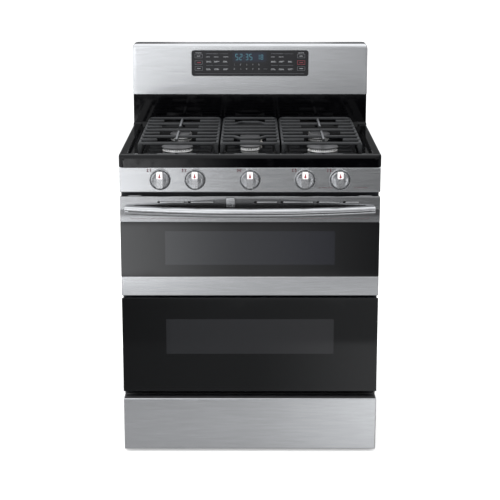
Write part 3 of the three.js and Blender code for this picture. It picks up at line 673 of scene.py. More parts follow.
# ---- Oven body ------------------------------------------------------------------------------------
def side_panels():
    for side, sign in (("left", -1), ("right", 1)):
        b = Box(f"side_panel_{side}")
        outer = sign * max(abs(b.x0), abs(b.x1))
        x = (outer - 0.0015, outer) if sign > 0 else (outer, outer + 0.0015)
        form = Form()
        field = ((b.y0 + 0.045, b.y1 - 0.045), (b.z0 + 0.05, b.z1 - 0.06))
        rings = []
        edge = 0.0012
        for inset, deep in ((0.0, 0.0015), (0.0, edge), (edge * 0.3, edge * 0.3), (edge, 0.0)):
            rings.append([(outer - sign * deep, u, v) for u, v in rounded(
                (b.y0 + inset, b.y1 - inset), (b.z0 + inset, b.z1 - inset), 0.002)])
        for grow, deep in ((0.0, 0.0), (0.004, 0.0003), (0.008, 0.0011), (0.012, 0.0013)):
            rings.append([(outer - sign * deep, u, v) for u, v in rounded(
                (field[0][0] + grow, field[0][1] - grow), (field[1][0] + grow, field[1][1] - grow), 0.03)])
        form.loft(rings, side_paint)
        flange = (outer - sign * 0.02, outer - sign * 0.0015)
        form.slab(tuple(sorted(flange)), (b.y1 - 0.0051, b.y1 - 0.0036), (b.z0, b.z1), side_paint,
                  "y", 0.0004, 0.0005)
        form.slab(x, (b.y1 - 0.005, b.y1), (b.z0, b.z1), side_paint, "x", 0.0004, 0.0005)
        form.piece(f"{side}_side_panel", "chassis", "painted_steel", f"side_panel_{side}")
        heads = screw("x", sign)
        spread(f"{side}_side_screws", heads,
               [(outer - sign * 0.0016, y, z) for y in (b.y0 + 0.02, b.y1 - 0.02)
                for z in (b.z0 + 0.02, b.z0 + 0.42, b.z1 - 0.03)],
               screw_zinc, "chassis", "galvanised", (3, 0, 0), 5)


def rear_details():
    b = Box("rear_panel")
    form = Form()
    y = b.y1
    form.slab((-0.20, 0.20), (y - 0.0002, y + 0.0012), (0.60, 0.80), galvanised, "y", 0.0005, 0.012)
    form.slab((-0.11, 0.11), (y - 0.0002, y + 0.0012), (0.12, 0.26), galvanised, "y", 0.0005, 0.012)
    form.slab((0.20, 0.33), (y - 0.0002, y + 0.0010), (0.06, 0.20), galvanised, "y", 0.0004, 0.010)
    form.piece("rear_cover_plates", "chassis", "galvanised")
    places = [(x, y + 0.0011, z) for x in (-0.188, 0.188) for z in (0.612, 0.788)]
    places += [(x, y + 0.0011, z) for x in (-0.10, 0.10) for z in (0.13, 0.25)]
    places += [(x, y - 0.0001, z) for x in (-0.36, -0.12, 0.12, 0.36) for z in (0.045, 0.855)]
    places += [(x, y - 0.0001, z) for x in (-0.36, 0.36) for z in (0.25, 0.45, 0.65)]
    spread("rear_panel_screws", screw("y", 1), places, screw_zinc, "chassis", "galvanised", (0, 3, 0), 7)
    louvre = Form()
    rings = []
    for i in range(7):
        turn = math.pi * i / 6
        rings.append([(x, 0.0018 * math.sin(turn) * lift, 0.0035 * math.cos(turn) - 0.0035 * (1 - lift))
                      for x, lift in ((-0.034, 0.05), (-0.030, 0.8), (-0.024, 1.0), (0.024, 1.0),
                                      (0.030, 0.8), (0.034, 0.05))])
    louvre.loft([[p for p in ring] for ring in rings], galvanised)
    spread("rear_louvres", louvre, [(x, y - 0.0002, 0.632 + 0.014 * i)
                                    for x in (-0.135, -0.045, 0.045, 0.135) for i in range(10)],
           galvanised, "chassis", "galvanised")
    slots = Form().slab((-0.030, 0.030), (0, 0.0006), (-0.0012, 0.0012), shadow_black, "y", 0.0001, 0.001)
    spread("rear_louvre_shadows", slots, [(x, y + 0.0011, 0.6275 + 0.014 * i)
                                          for x in (-0.135, -0.045, 0.045, 0.135) for i in range(10)],
           shadow_black, "chassis", "black_plastic")
    inlet = Form()
    inlet.turned([(0.0, 0.0), (0.012, 0.0), (0.012, 0.0030), (0.0095, 0.0034), (0.0095, 0.0012),
                  (0, 0.0012)], (0.265, y, 0.13), brass, "y", 6)
    inlet.piece("gas_inlet_fitting", "chassis", "brass")


def feet():
    for end in ("front", "rear"):
        for side in ("left", "right"):
            b = Box(f"foot_{end}_{side}")
            profile = [(0, 0), (0.0165, 0), (0.018, 0.0012), (0.018, 0.004), (0.0165, 0.0055),
                       (0.011, 0.0062),
                       (0.011, 0.0105), (0.0062, 0.0110)]
            for i in range(6):
                height = 0.0118 + 0.0022 * i
                profile += [(0.0052, height), (0.0062, height + 0.0011)]
            profile += [(0.0062, 0.0257), (0, 0.0257)]
            form = Form().turned(profile, (b.middle.x, b.middle.y, 0), rubber, "z", 32)
            form.piece(f"levelling_foot_{end}_{side}", "chassis", "foot_rubber", f"foot_{end}_{side}")


def oven_inside():
    coat(oven_coat, "oven_liner", "front_frame")
    coat(galvanised, "base_pan", "rear_panel", "door_hinge_left", "door_hinge_right", "drawer_rail_left",
         "drawer_rail_right", "bake_burner", "broil_burner", *[f"valve_stem_{k}" for k in KNOBS])
    coat(brass, "gas_manifold")
    coat(board, "control_board")
    liner = Box("oven_liner")
    wall = liner.y1 - 0.002
    fan = Box("convection_fan")
    centre = (0.0, 0.0, (fan.z0 + fan.z1) / 2)
    cover = Form()
    outer = 0.088
    cover.turned([(0.010, 0.0338), (0.062, 0.0338), (0.074, 0.030), (outer - 0.006, 0.004), (outer, 0.0),
                  (outer, 0.0012), (outer - 0.0068, 0.0052), (0.0742, 0.0312), (0.0622, 0.0348),
                  (0.010, 0.0348), (0.010, 0.0338)], (0, wall, centre[2]), oven_coat, "y", 64, -1)
    cutters = Form()
    for row, count in ((0.026, 10), (0.044, 16), (0.060, 22)):
        for i in range(count):
            turn = 2 * math.pi * i / count
            u, v = row * math.cos(turn), row * math.sin(turn)
            cutters.turned([(0, 0.030), (0.0042, 0.030), (0.0042, 0.040), (0, 0.040)],
                           (u, wall, centre[2] + v), oven_coat, "y", 10, -1)
    mesh = pierced("fan_cover", cover.mesh("fan_cover"), cutters)
    complete("fan_cover", mesh, "chassis")
    spread("fan_cover_screws", screw("y", -1),
           [(0.083 * math.cos(a), wall - 0.0022, centre[2] + 0.083 * math.sin(a))
            for a in (0.6, 2.2, 3.9, 5.4)], screw_zinc, "chassis", "galvanised", (0, 3, 0), 11)
    lamp = Form()
    place = (-0.21, wall, 0.69)
    lamp.turned([(0.0, 0.0), (0.030, 0.0), (0.030, 0.004), (0.027, 0.006), (0.024, 0.006), (0, 0.005)],
                place, plated, "y", 40, -1)
    lamp.turned([(0, 0.004), (0.023, 0.004), (0.0225, 0.012), (0.018, 0.020), (0.010, 0.0245), (0, 0.0255)],
                place, lamp_glass, "y", 40, -1)
    lamp.piece("oven_lamp", "chassis", "rack_wire")
    wheel = Form()
    wheel.turned([(0, 0.0005), (0.012, 0.0005), (0.013, 0.002), (0.013, 0.021), (0, 0.021)],
                 (0, fan.y0 + 0.001, centre[2]), galvanised, "y", 12)
    wheel.turned([(0.005, 0.0200), (0.0615, 0.0200), (0.062, 0.0210), (0.0615, 0.0220), (0.005, 0.0220),
                  (0.005, 0.0200)], (0, fan.y0, centre[2]), galvanised, "y", 48)
    wheel.turned([(0, 0.0), (0.0048, 0.0), (0.0048, fan.y1 - fan.y0 - 0.0005), (0, fan.y1 - fan.y0)],
                 (0, fan.y0, centre[2]), galvanised, "y", 16)
    for i in range(8):
        turn = i * math.pi / 4
        reach = Vector((math.cos(turn), 0, math.sin(turn)))
        lean = Vector((-math.sin(turn), 0, math.cos(turn)))
        rings = []
        for r, bend in ((0.014, 0.0), (0.030, 0.003), (0.048, 0.007), (0.0665, 0.013)):
            base = reach * r + lean * bend * 0.6
            rings.append([tuple(base + lean * t + Vector((0, y, centre[2]))) for y, t in
                          ((fan.y0 + 0.002, -0.0008), (fan.y0 + 0.0205, -0.0008),
                           (fan.y0 + 0.0205, 0.0008), (fan.y0 + 0.002, 0.0008))])
        wheel.loft(rings, galvanised)
    wheel.piece("convection_fan_wheel", "fan", "galvanised", "convection_fan")
    broil = Box("broil_burner")
    ports = [(x, broil.y0 + 0.02 + 0.012 * i, broil.z0 + 0.0006) for x in (broil.x0 + 0.008, broil.x1 - 0.008)
             for i in range(25)]
    port = Form().turned([(0, -0.001), (0.0018, -0.001), (0.0018, 0.0002), (0, 0.0002)], (0, 0, 0),
                         shadow_black, "z", 8)
    spread("broil_burner_ports", port, ports, shadow_black, "chassis", "black_plastic")


def racks():
    for level in ("upper", "lower"):
        b = Box(f"oven_rack_{level}")
        z = b.z0 + 0.003
        inset = 0.003
        x0, x1, y0, y1 = b.x0 + inset, b.x1 - inset, b.y0 + inset, b.y1 - inset
        rim = [(x0, y0, z), (x1, y0, z), (x1, y1, z), (x0, y1, z), (x0, y0, z)]
        middle = [(x0, -0.009, z), (x1, -0.009, z)]
        frame_mesh = wires.run(f"rack_frame_{level}", lines_mesh([rim, middle]), Radius=0.0030, Bend=0.022,
                               Finish=plated)
        gap = (x1 - x0) / 24
        rods = [[(x0 + gap * (i + 1), y0, z + 0.0029), (x0 + gap * (i + 1), y1, z + 0.0029)]
                for i in range(23)]
        rod_mesh = wires.run(f"rack_rods_{level}", lines_mesh(rods), Radius=0.0019, Bend=0.0, Finish=plated)
        work = bmesh.new()
        work.from_mesh(frame_mesh)
        work.from_mesh(rod_mesh)
        mesh = bpy.data.meshes.new(f"wire_rack_{level}")
        work.to_mesh(mesh)
        work.free()
        mesh.materials.append(plated)
        complete(f"wire_rack_{level}", mesh, f"rack_{level}", (f"oven_rack_{level}",), 50)


# ---- Cooktop --------------------------------------------------------------------------------------
WELLS = [(-0.314, -0.111), (-0.075, 0.075), (0.111, 0.314)]
WELL_Y = (-0.219, 0.263)


def ease(value):
    value = max(0.0, min(1.0, value))
    return value * value * (3 - 2 * value)


def cooktop():
    """The pressed top as a height over the plan: rolled edge, raised border, pan and wells."""
    b = Box("cooktop")
    skirt, well = b.z0, Box("burner_cap_front_left").z0 - 0.010
    top, pan = b.z1 - 0.007, well + 0.011
    front, rear, half, corner = b.y0, b.y1, b.x1, 0.016

    def lines(low, high, step, dense):
        values = {low, high}
        count = round((high - low) / step)
        values |= {low + (high - low) * i / count for i in range(count + 1)}
        for a, c, fine in dense:
            n = max(1, round((c - a) / fine))
            values |= {a + (c - a) * i / n for i in range(n + 1)}
        ordered = sorted(values)
        kept = [ordered[0]]
        for value in ordered[1:]:
            if value - kept[-1] > 0.0004:
                kept.append(value)
        kept[-1] = high
        return kept

    xs = lines(-half, half, 0.009, [(s * e - 0.008, s * e + 0.008, 0.0016)
                                    for s in (-1, 1) for e in (0.314, 0.111, 0.075)]
               + [(0.342, 0.358, 0.0012), (-0.358, -0.342, 0.0012), (0.370, half, 0.0011),
                  (-half, -0.370, 0.0011)])
    ys = lines(front, rear, 0.009, [(front, front + 0.034, 0.0011),
                                    (WELL_Y[0] - 0.008, WELL_Y[0] + 0.02, 0.0018),
                                    (WELL_Y[1] - 0.02, WELL_Y[1] + 0.006, 0.0018),
                                    (rear - 0.018, rear, 0.0012)])

    def height(x, y):
        side = ease((abs(x) - (half - 0.0305)) / 0.006)
        ahead = ease((front + 0.0285 - y) / 0.006)
        z = pan + (top - pan) * max(side, ahead)
        z += (b.z1 - top + (top - pan) * (1 - max(side, ahead))) * ease((y - (rear - 0.0135)) / 0.0055)
        for low, high in WELLS:
            middle, reach, radius = (low + high) / 2, (high - low) / 2, 0.020
            my, ry = sum(WELL_Y) / 2, (WELL_Y[1] - WELL_Y[0]) / 2
            dx = max(abs(x - middle) - (reach - radius), 0)
            dy = max(abs(y - my) - (ry - radius), 0)
            distance = math.hypot(dx, dy) - radius
            z -= (pan - well) * ease(-distance / 0.0075)
        ahead, roll = y - front, 0.011
        if ahead < roll:
            z = min(z, top - roll + math.sqrt(max(0, roll ** 2 - (roll - ahead) ** 2)))
        side = half - abs(x)
        if side < 0.006:
            z = min(z, z - 0.006 * (1 - math.sqrt(max(0, 1 - ((0.006 - side) / 0.006) ** 2))))
        return z

    verts, faces = [], []
    for y in ys:
        ahead = y - front
        pull = corner - math.sqrt(max(0, corner ** 2 - (corner - ahead) ** 2)) if ahead < corner else 0
        for x in xs:
            verts.append((x * (half - pull) / half, y, height(x, y)))
    wide = len(xs)
    for j in range(len(ys) - 1):
        for i in range(wide - 1):
            a = j * wide + i
            faces.append((a, a + 1, a + wide + 1, a + wide))
    rim = [i for i in range(wide)] + [j * wide + wide - 1 for j in range(1, len(ys))]
    rim += [(len(ys) - 1) * wide + i for i in range(wide - 2, -1, -1)]
    rim += [j * wide for j in range(len(ys) - 2, 0, -1)]
    base, n = len(verts), len(rim)
    verts += [(verts[i][0], verts[i][1], verts[i][2] - 0.0006) for i in rim]
    verts += [(verts[i][0], verts[i][1], skirt) for i in rim]
    low = base + n
    faces += [(rim[i], rim[(i + 1) % n], base + (i + 1) % n, base + i) for i in range(n)]
    faces += [(base + i, base + (i + 1) % n, low + (i + 1) % n, low + i) for i in range(n)]
    faces.append(tuple(low + i for i in range(n)))
    form = Form().shell(verts, faces, black_gloss)
    form.piece("pressed_cooktop", "chassis", "black_enamel", "cooktop", smooth=50)
    return well


def port_ring(radius, z, count, centre, block=(0.004, 0.0012, 0.0034)):
    mesh = ring.run("ports", points_mesh([(0, 0, 0)]), Count=count, Ring=radius, Block=block,
                    Finish=shadow_black)
    mesh.transform(Matrix.Translation((centre[0], centre[1], z)))
    return mesh


def joined(name, meshes):
    """Several meshes with the same finishes as one."""
    work = bmesh.new()
    for mesh in meshes:
        work.from_mesh(mesh)
    whole = bpy.data.meshes.new(name)
    work.to_mesh(whole)
    work.free()
    for finish in meshes[0].materials:
        whole.materials.append(finish)
    return whole


def igniter(form, x, y, floor):
    form.turned([(0, 0), (0.0042, 0), (0.0042, 0.004), (0.0030, 0.0046), (0.0030, 0.0125), (0.0022, 0.0135),
                 (0, 0.0135)], (x, y, floor + 0.0002), ceramic, "z", 20)
    form.turned([(0, 0.0130), (0.0010, 0.0130), (0.0010, 0.0165), (0, 0.0170)], (x, y, floor), plated, "z",
                10)


def burners(floor):
    ports = []
    for name in ROUND_BURNERS:
        cap, head = Box(f"burner_cap_{name}"), Box(f"burner_head_{name}")
        centre = (cap.middle.x, cap.middle.y, floor)
        r = (cap.x1 - cap.x0) / 2
        form = Form()
        form.turned([(0.0085, -0.012), (0.019, -0.012), (0.019, 0.0003), (r - 0.008, 0.0003),
                     (r - 0.0035, 0.0009), (r - 0.0022, 0.0021), (r - 0.0022, 0.0038), (r - 0.0036, 0.0046),
                     (r - 0.0052, 0.0050), (r - 0.0052, 0.0080), (r - 0.0062, 0.0096), (0.0085, 0.0096),
                     (0.0085, -0.012)], centre, head_cast, "z", 72)
        form.piece(f"burner_base_{name}", "chassis", "burner_metal", f"burner_head_{name}")
        count = round(2 * math.pi * r / 0.0072)
        ports.append(port_ring(r - 0.0068, floor + 0.0068, count, centre))
        top = Form()
        top.turned([(0, 0.0101), (r - 0.006, 0.0101), (r - 0.0012, 0.0106), (r, 0.0118), (r, 0.0136),
                    (r - 0.0012, 0.0148), (r - 0.0045, 0.0163), (r - 0.010, 0.0170), (r - 0.0135, 0.0172),
                    (r * 0.5, 0.01745), (0, 0.0175)], centre, cap_iron, "z", 72)
        top.piece(f"burner_lid_{name}", "chassis", "cast_iron", f"burner_cap_{name}")
        spark = Form()
        sign = 1 if name.endswith("left") else -1
        igniter(spark, centre[0] + sign * (r + 0.0035) * 0.72, centre[1] + (r + 0.0035) * 0.72, floor)
        spark.piece(f"igniter_{name}", "chassis", "burner_metal")
    cap = Box("burner_cap_center")
    cx, cy = cap.middle.x, cap.middle.y
    wide, long = (cap.x1 - cap.x0) / 2, (cap.y1 - cap.y0) / 2

    def oval(inset, z, steps=14):
        radius, reach = wide - inset, long - wide
        outline = [(radius * math.cos(a), reach + radius * math.sin(a))
                   for a in (math.pi * i / steps for i in range(steps + 1))]
        outline += [(-u, -v) for u, v in outline]
        return [(cx + u, cy + v, floor + z) for u, v in outline]

    head = Form()
    head.loft([oval(i, z) for i, z in ((0.006, 0.0003), (0.0025, 0.0009), (0.002, 0.002), (0.002, 0.0036),
                                       (0.0038, 0.0046), (0.0052, 0.0050), (0.0052, 0.0082),
                                       (0.0062, 0.0096))], head_cast)
    head.turned([(0, -0.012), (0.019, -0.012), (0.019, 0.004), (0, 0.004)], (cx, cy, floor), head_cast, "z",
                40)
    head.piece("burner_base_center", "chassis", "burner_metal", "burner_head_center")
    lid = Form()
    lid.loft([oval(i, z) for i, z in ((0.005, 0.0101), (0.0012, 0.0106), (0, 0.0118), (0, 0.0136),
                                      (0.0012, 0.0150), (0.0045, 0.0164), (0.0100, 0.0171),
                                      (0.0200, 0.0175))],
             cap_iron)
    lid.piece("burner_lid_center", "chassis", "cast_iron", "burner_cap_center")
    port = Form().slab((-0.0006, 0.0006), (-0.002, 0.002), (-0.0017, 0.0017), shadow_black, "y", 0.0001,
                       0.0003)
    side_port = Form().slab((-0.002, 0.002), (-0.0006, 0.0006), (-0.0017, 0.0017), shadow_black, "x",
                            0.0001, 0.0003)
    radius, reach = wide - 0.0068, long - wide
    sides = [(cx + s * radius, cy - reach + 0.0075 * i, floor + 0.0068)
             for s in (-1, 1) for i in range(round(2 * reach / 0.0075) + 1)]
    spread("center_burner_side_ports", side_port, sides, shadow_black, "chassis", "burner_metal")
    ends = [(cx + radius * math.cos(a) * s, cy + s * (reach + radius * math.sin(a)), floor + 0.0068)
            for s in (-1, 1) for a in (math.pi * i / 9 for i in range(1, 9))]
    spread("center_burner_end_ports", port, ends, shadow_black, "chassis", "burner_metal")
    spark = Form()
    igniter(spark, cx + wide + 0.005, cy + 0.03, floor)
    spark.piece("igniter_center", "chassis", "burner_metal")
    mesh = joined("burner_ports", ports)
    complete("burner_ports", mesh, "chassis")


BAR_GAP = 0.0615
BAR_WIDTH = 0.009


def grates():
    for side in ("left", "center", "right"):
        b = Box(f"grate_{side}")
        high = b.z1 if side == "center" else b.z1 - 0.002
        low = high - 0.008
        half = BAR_WIDTH / 2
        form = Form()
        x0, x1, y0, y1 = b.x0 + half, b.x1 - half, b.y0 + half, b.y1 - half
        rail = [(x, y, -0.0035 * ease(min(y - y0, y1 - y) / 0.014))
                for x, y in rounded((x0, x1), (y0, y1), 0.014, 6)]
        form.bar(rail, BAR_WIDTH, low, high, iron, loop=True)
        bars = [y0 + BAR_GAP * i for i in range(9)]
        if side == "center":
            for i in (3, 4, 5):
                form.bar([(x0, bars[i]), (x1, bars[i])], BAR_WIDTH, low, high, iron)
            for i, bow in ((2, -0.038), (6, 0.038)):
                middle, reach = (x0 + x1) / 2, 0.052
                path = [(x0, bars[i]), (middle - reach, bars[i])]
                path += [(middle - reach + (reach - 0.022) * t, bars[i] + bow * ease(t))
                         for t in (0.17, 0.33, 0.5, 0.67, 0.83, 1)]
                path += [(2 * middle - x, y) for x, y in path[::-1]]
                form.bar(path, BAR_WIDTH, low, high, iron)
            for i in (1, 7):
                form.bar([(x0, bars[i]), (x0 + 0.034, bars[i])], BAR_WIDTH, low, high, iron)
                form.bar([(x1, bars[i]), (x1 - 0.034, bars[i])], BAR_WIDTH, low, high, iron)
        else:
            burner = Box(f"burner_cap_front_{side}").middle.x
            for i in range(1, 8):
                if i % 2 == 0:
                    form.bar([(x0, bars[i]), (x1, bars[i])], BAR_WIDTH, low, high, iron)
                else:
                    form.bar([(x0, bars[i]), (burner - 0.059, bars[i])], BAR_WIDTH, low, high, iron)
                    form.bar([(x1, bars[i]), (burner + 0.059, bars[i])], BAR_WIDTH, low, high, iron)
            for i in (2, 6):
                form.bar([(burner, bars[i] - 0.074), (burner, bars[i] + 0.074)], BAR_WIDTH * 0.95,
                         low + 0.001, high + 0.002, iron)
        foot = b.z0
        for x, inward in ((x0, 1), (x1, -1)):
            for y, back in ((y0, 1), (y1, -1)):
                rings = []
                for z, wide, deep in ((foot, 0.008, 0.008), (foot + 0.001, 0.010, 0.010),
                                      (foot + 0.010, 0.012, 0.011), (low - 0.004, 0.0150, 0.0120),
                                      (low + 0.002, 0.0165, 0.0125)):
                    left = x - inward * half
                    near = y - back * half
                    u = tuple(sorted((left + inward * 0.0005, left + inward * wide)))
                    v = tuple(sorted((near + back * 0.0005, near + back * deep)))
                    rings.append([(p, q, z) for p, q in rounded(u, v, 0.003, 3)])
                form.loft(rings, iron)
        form.piece(f"cast_grate_{side}", f"grate_{side}_body", "cast_iron", f"grate_{side}", smooth=42)


# ---- Controls -------------------------------------------------------------------------------------
def control_panel():
    b = Box("control_panel")
    form = Form().pan((b.x0, b.x1), (b.y0, b.y1), (b.z0, b.z1), steel, edge=0.0025, corner=0.003)
    cutters = Form()
    for k in KNOBS:
        stem = Box(f"valve_stem_{k}")
        cutters.turned([(0, -0.01), (0.0075, -0.01), (0.0075, 0.01), (0, 0.01)],
                       (stem.middle.x, b.y0, stem.middle.z), steel, "y", 12)
    mesh = pierced("front_control_panel", form.mesh("front_control_panel"), cutters)
    complete("front_control_panel", mesh, "chassis", ("control_panel",), pressed=True)
    bezels, marks = Form(), Form()
    for k in KNOBS:
        stem = Box(f"valve_stem_{k}")
        x, z = stem.middle.x, stem.middle.z
        bezels.turned([(0.0082, 0.0), (0.0310, 0.0), (0.0310, 0.0006), (0.0303, 0.0024), (0.0293, 0.0042),
                       (0.0286, 0.0046), (0.0280, 0.0042), (0.0276, 0.0014), (0.0270, 0.0010),
                       (0.0082, 0.0010),
                       (0.0082, 0.0)], (x, b.y0, z), knob_ring, "y", 72, -1)
        for dx, dz in ((-0.0042, 0.0026), (0.0042, 0.0026), (-0.0042, -0.0026), (0.0042, -0.0026)):
            mx, mz = x - 0.0315 + dx, z + 0.0268 + dz
            radius = 0.0024
            marks.turned([(radius * 0.4, 0.0), (radius, 0.0), (radius, 0.00025), (radius * 0.4, 0.00025),
                          (radius * 0.4, 0.0)], (mx, b.y0, mz), panel_mark, "y", 16, -1)
        row = {"left_outer": (-1, -1), "left_inner": (-1, 1), "center": (0, 0), "right_inner": (1, 1),
               "right_outer": (1, -1)}[k]
        mx, mz = x - 0.0315 + row[0] * 0.0042, z + 0.0268 + row[1] * 0.0026
        marks.turned([(0, 0.0), (0.0020, 0.0), (0.0020, 0.00028), (0, 0.00028)], (mx, b.y0, mz), panel_mark,
                     "y", 16, -1)
    for k in ("right_inner", "right_outer"):
        x = Box(f"valve_stem_{k}").middle.x + 0.040
        for start, end in ((0, 0.007), (0.010, 0.024), (0.027, 0.040)):
            if x + end < b.x1 - 0.01:
                z = b.z0 + 0.013
                marks.slab((x + start, x + end), (b.y0 - 0.00025, b.y0), (z, z + 0.0014), panel_mark, "y",
                           0.00005, 0.0003)
    bezels.piece("knob_bezels", "chassis", "knob_metal")
    marks.piece("control_panel_marks", "chassis", "black_plastic")


def knobs():
    for k in KNOBS:
        b = Box(f"knob_{k}")
        x, z = b.middle.x, b.middle.z
        back, tip = b.y1, b.y0
        form = Form()
        form.turned([(0.0046, 0.0), (0.0258, 0.0), (0.0266, 0.0005), (0.0266, 0.0018), (0.0259, 0.0040),
                     (0.0249, 0.0066), (0.0240, 0.0079), (0.0230, 0.0083), (0.0221, 0.0078)]
                    + [(0.0221 - 0.0175 * t, 0.0078 - 0.0032 * math.sin(t * math.pi / 2))
                       for t in (0.08, 0.2, 0.35, 0.5, 0.7, 1.0)] + [(0.0046, 0.0)],
                    (x, back, z), knob_ring, "y", 72, -1)
        rings = []
        for y, wide, low, high, corner in (
                (back - 0.0040, 0.0112, -0.0200, 0.0200, 0.006),
                (back - 0.0082, 0.0107, -0.0212, 0.0212, 0.005),
                (back - 0.0098, 0.0104, -0.0216, 0.0250, 0.005),
                (back - 0.0120, 0.0102, -0.0218, 0.0280, 0.005),
                (back - 0.0150, 0.0100, -0.0219, 0.0288, 0.0045),
                (tip + 0.0022, 0.0097, -0.0217, 0.0286, 0.004),
                (tip + 0.0009, 0.0095, -0.0214, 0.0283, 0.0036),
                (tip + 0.0002, 0.0089, -0.0207, 0.0276, 0.003)):
            rings.append([(x + u, y, z + v) for u, v in rounded((-wide, wide), (low, high), corner, 5)])
        form.loft(rings, knob_satin)
        insert = rounded((-0.0084, 0.0084), (0.0070, 0.0271), 0.0026, 4)
        form.loft([[(x + u, tip + 0.0006, z + v) for u, v in insert],
                   [(x + u, tip + 0.00015, z + v) for u, v in insert],
                   [(x + u * 0.97, tip + 0.00004, z + 0.0171 + (v - 0.0171) * 0.97) for u, v in insert]],
                  white_insert_painted_glow)
        mark = [(0.0034 * math.sin(a), 0.0125 - 0.0034 * math.cos(a))
                for a in (math.radians(-148 + 29.6 * i) for i in range(11))]
        mark = [(0.0014, 0.0212), (-0.0014, 0.0212)] + mark
        form.loft([[(x + u, tip + 0.0008, z + v) for u, v in mark],
                   [(x + u, tip, z + v) for u, v in mark]], red_mark)
        for turn in range(10):
            angle = math.radians(200 + 14 * turn)
            form.turned([(0, 0), (0.0006, 0), (0.0006, 0.0003), (0, 0.0003)],
                        (x + 0.0230 * math.cos(angle), back - 0.0082, z + 0.0230 * math.sin(angle)),
                        shadow_black, "y", 8, -1)
        form.piece(f"turned_knob_{k}", f"knob_{k}_body", "knob_metal", f"knob_{k}")


# ---- Backguard ------------------------------------------------------------------------------------
def backguard():
    b, glass, riser = Box("backguard_cover"), Box("display_glass"), Box("backguard_riser")
    form = Form()
    radius, corner = 0.011, 0.012
    sections = []
    for x, drop in ((b.x0, 1.0), (b.x0 + 0.0012, 0.55), (b.x0 + 0.004, 0.2), (b.x0 + 0.008, 0.05),
                    (b.x0 + 0.012, 0.0), (b.x1 - 0.012, 0.0), (b.x1 - 0.008, 0.05), (b.x1 - 0.004, 0.2),
                    (b.x1 - 0.0012, 0.55), (b.x1, 1.0)):
        sections.append((x, corner * drop, 0.0012 * min(1, drop * 1.2)))
    rings = []
    for x, drop, pull in sections:
        top = b.z1 - drop
        f, r = b.y0 + pull, b.y1 - pull
        outline = [(f, b.z0)]
        for i in range(9):
            turn = math.radians(180 - 90 * i / 8)
            outline.append((f + radius + radius * math.cos(turn), top - radius + radius * math.sin(turn)))
        for i in range(5):
            turn = math.radians(90 - 90 * i / 4)
            outline.append((r - 0.004 + 0.004 * math.cos(turn), top - 0.004 + 0.004 * math.sin(turn)))
        outline.append((r, b.z0))
        rings.append([(x, u, v) for u, v in outline])
    form.loft(rings, steel)
    cutters = Form()
    cutters.slab((glass.x0 - 0.0004, glass.x1 + 0.0004), (b.y0 - 0.01, b.y0 + 0.008),
                 (glass.z0 - 0.0004, glass.z1 + 0.0004), steel, "y", 0.0001, 0.0085)
    cutters.slab((b.x0 + 0.004, b.x1 - 0.004), (b.y0 + 0.009, b.y1 - 0.004), (b.z0 - 0.02, b.z1 - 0.014),
                 steel, "y", 0.0001, 0.001)
    mesh = pierced("backguard_shell", form.mesh("backguard_shell"), cutters)
    complete("backguard_shell", mesh, "chassis", ("backguard_cover",), 40, pressed=True)
    seam = Form()
    seam.slab((b.x0 + 0.05, b.x1 - 0.05), (b.y1 - 0.0006, b.y1 - 0.0001), (b.z0 + 0.02, b.z0 + 0.0212),
              shadow_black, "y", 0.0001, 0.0004)
    vent = Form().slab((-0.0018, 0.0018), (-0.0005, 0.0), (-0.012, 0.012), shadow_black, "y", 0.0001, 0.0017)
    spread("backguard_rear_vents", vent, [(s * (0.10 + 0.011 * i), b.y1, 1.10) for s in (-1, 1)
                                          for i in range(16)], shadow_black, "chassis", "black_plastic")
    seam.piece("backguard_rear_seam", "chassis", "black_plastic")
    foot = Form()
    foot.slab((riser.x0, riser.x1), (riser.y0, riser.y0 + 0.003), (riser.z0, riser.z1), black_gloss, "y",
              0.0012, 0.001)
    foot.slab((riser.x0, riser.x0 + 0.002), (riser.y0, riser.y1), (riser.z0, riser.z1), black_gloss, "x",
              0.0006, 0.001)
    foot.slab((riser.x1 - 0.002, riser.x1), (riser.y0, riser.y1), (riser.z0, riser.z1), black_gloss, "x",
              0.0006, 0.001)
    foot.slab((riser.x0 + 0.001, riser.x1 - 0.001), (riser.y1 - 0.002, riser.y1), (riser.z0, riser.z1),
              galvanised, "y", 0.0006, 0.001)
    foot.piece("gloss_riser", "chassis", "black_enamel", "backguard_riser")
    face = Form()
    face.slab((glass.x0, glass.x1), (glass.y0, glass.y1), (glass.z0, glass.z1), display_face, "y", 0.0007,
              0.0085)
    face.piece("display_window", "chassis", "black_glass", "display_glass")
    legends(glass)


SEGMENTS = {"0": "abcdef", "1": "bc", "2": "abged", "3": "abgcd", "4": "fgbc", "5": "afgcd", "6": "afgedc",
            "7": "abc", "8": "abcdefg", "9": "abcdfg"}


def seven_segment(form, digit, x, y, z, wide, tall, finish):
    """A lit numeral built from bars."""
    t = wide * 0.17
    spots = {"a": ((t, wide - t), (tall - t, tall)), "g": ((t, wide - t), ((tall - t) / 2, (tall + t) / 2)),
             "d": ((t, wide - t), (0, t)), "f": ((0, t), (tall / 2 + t / 2, tall - t / 2)),
             "b": ((wide - t, wide), (tall / 2 + t / 2, tall - t / 2)),
             "e": ((0, t), (t / 2, tall / 2 - t / 2)), "c": ((wide - t, wide), (t / 2, tall / 2 - t / 2))}
    for name in SEGMENTS[digit]:
        (u0, u1), (v0, v1) = spots[name]
        form.slab((x + u0, x + u1), (y - 0.0001, y + 0.0001), (z + v0, z + v1), finish, "y", 0.00003, t * 0.4)


def outline_box(form, x, y, z, thick, finish):
    """A thin printed frame around a key."""
    rings = []
    for inset, depth in ((0, 0.0), (0, -0.0001), (thick, -0.0001), (thick, 0.0)):
        rings.append([(u, y + depth, v) for u, v in rounded(
            (x[0] + inset, x[1] - inset), (z[0] + inset, z[1] - inset), 0.0012, 3)])
    form.loft(rings, finish, loop=True)


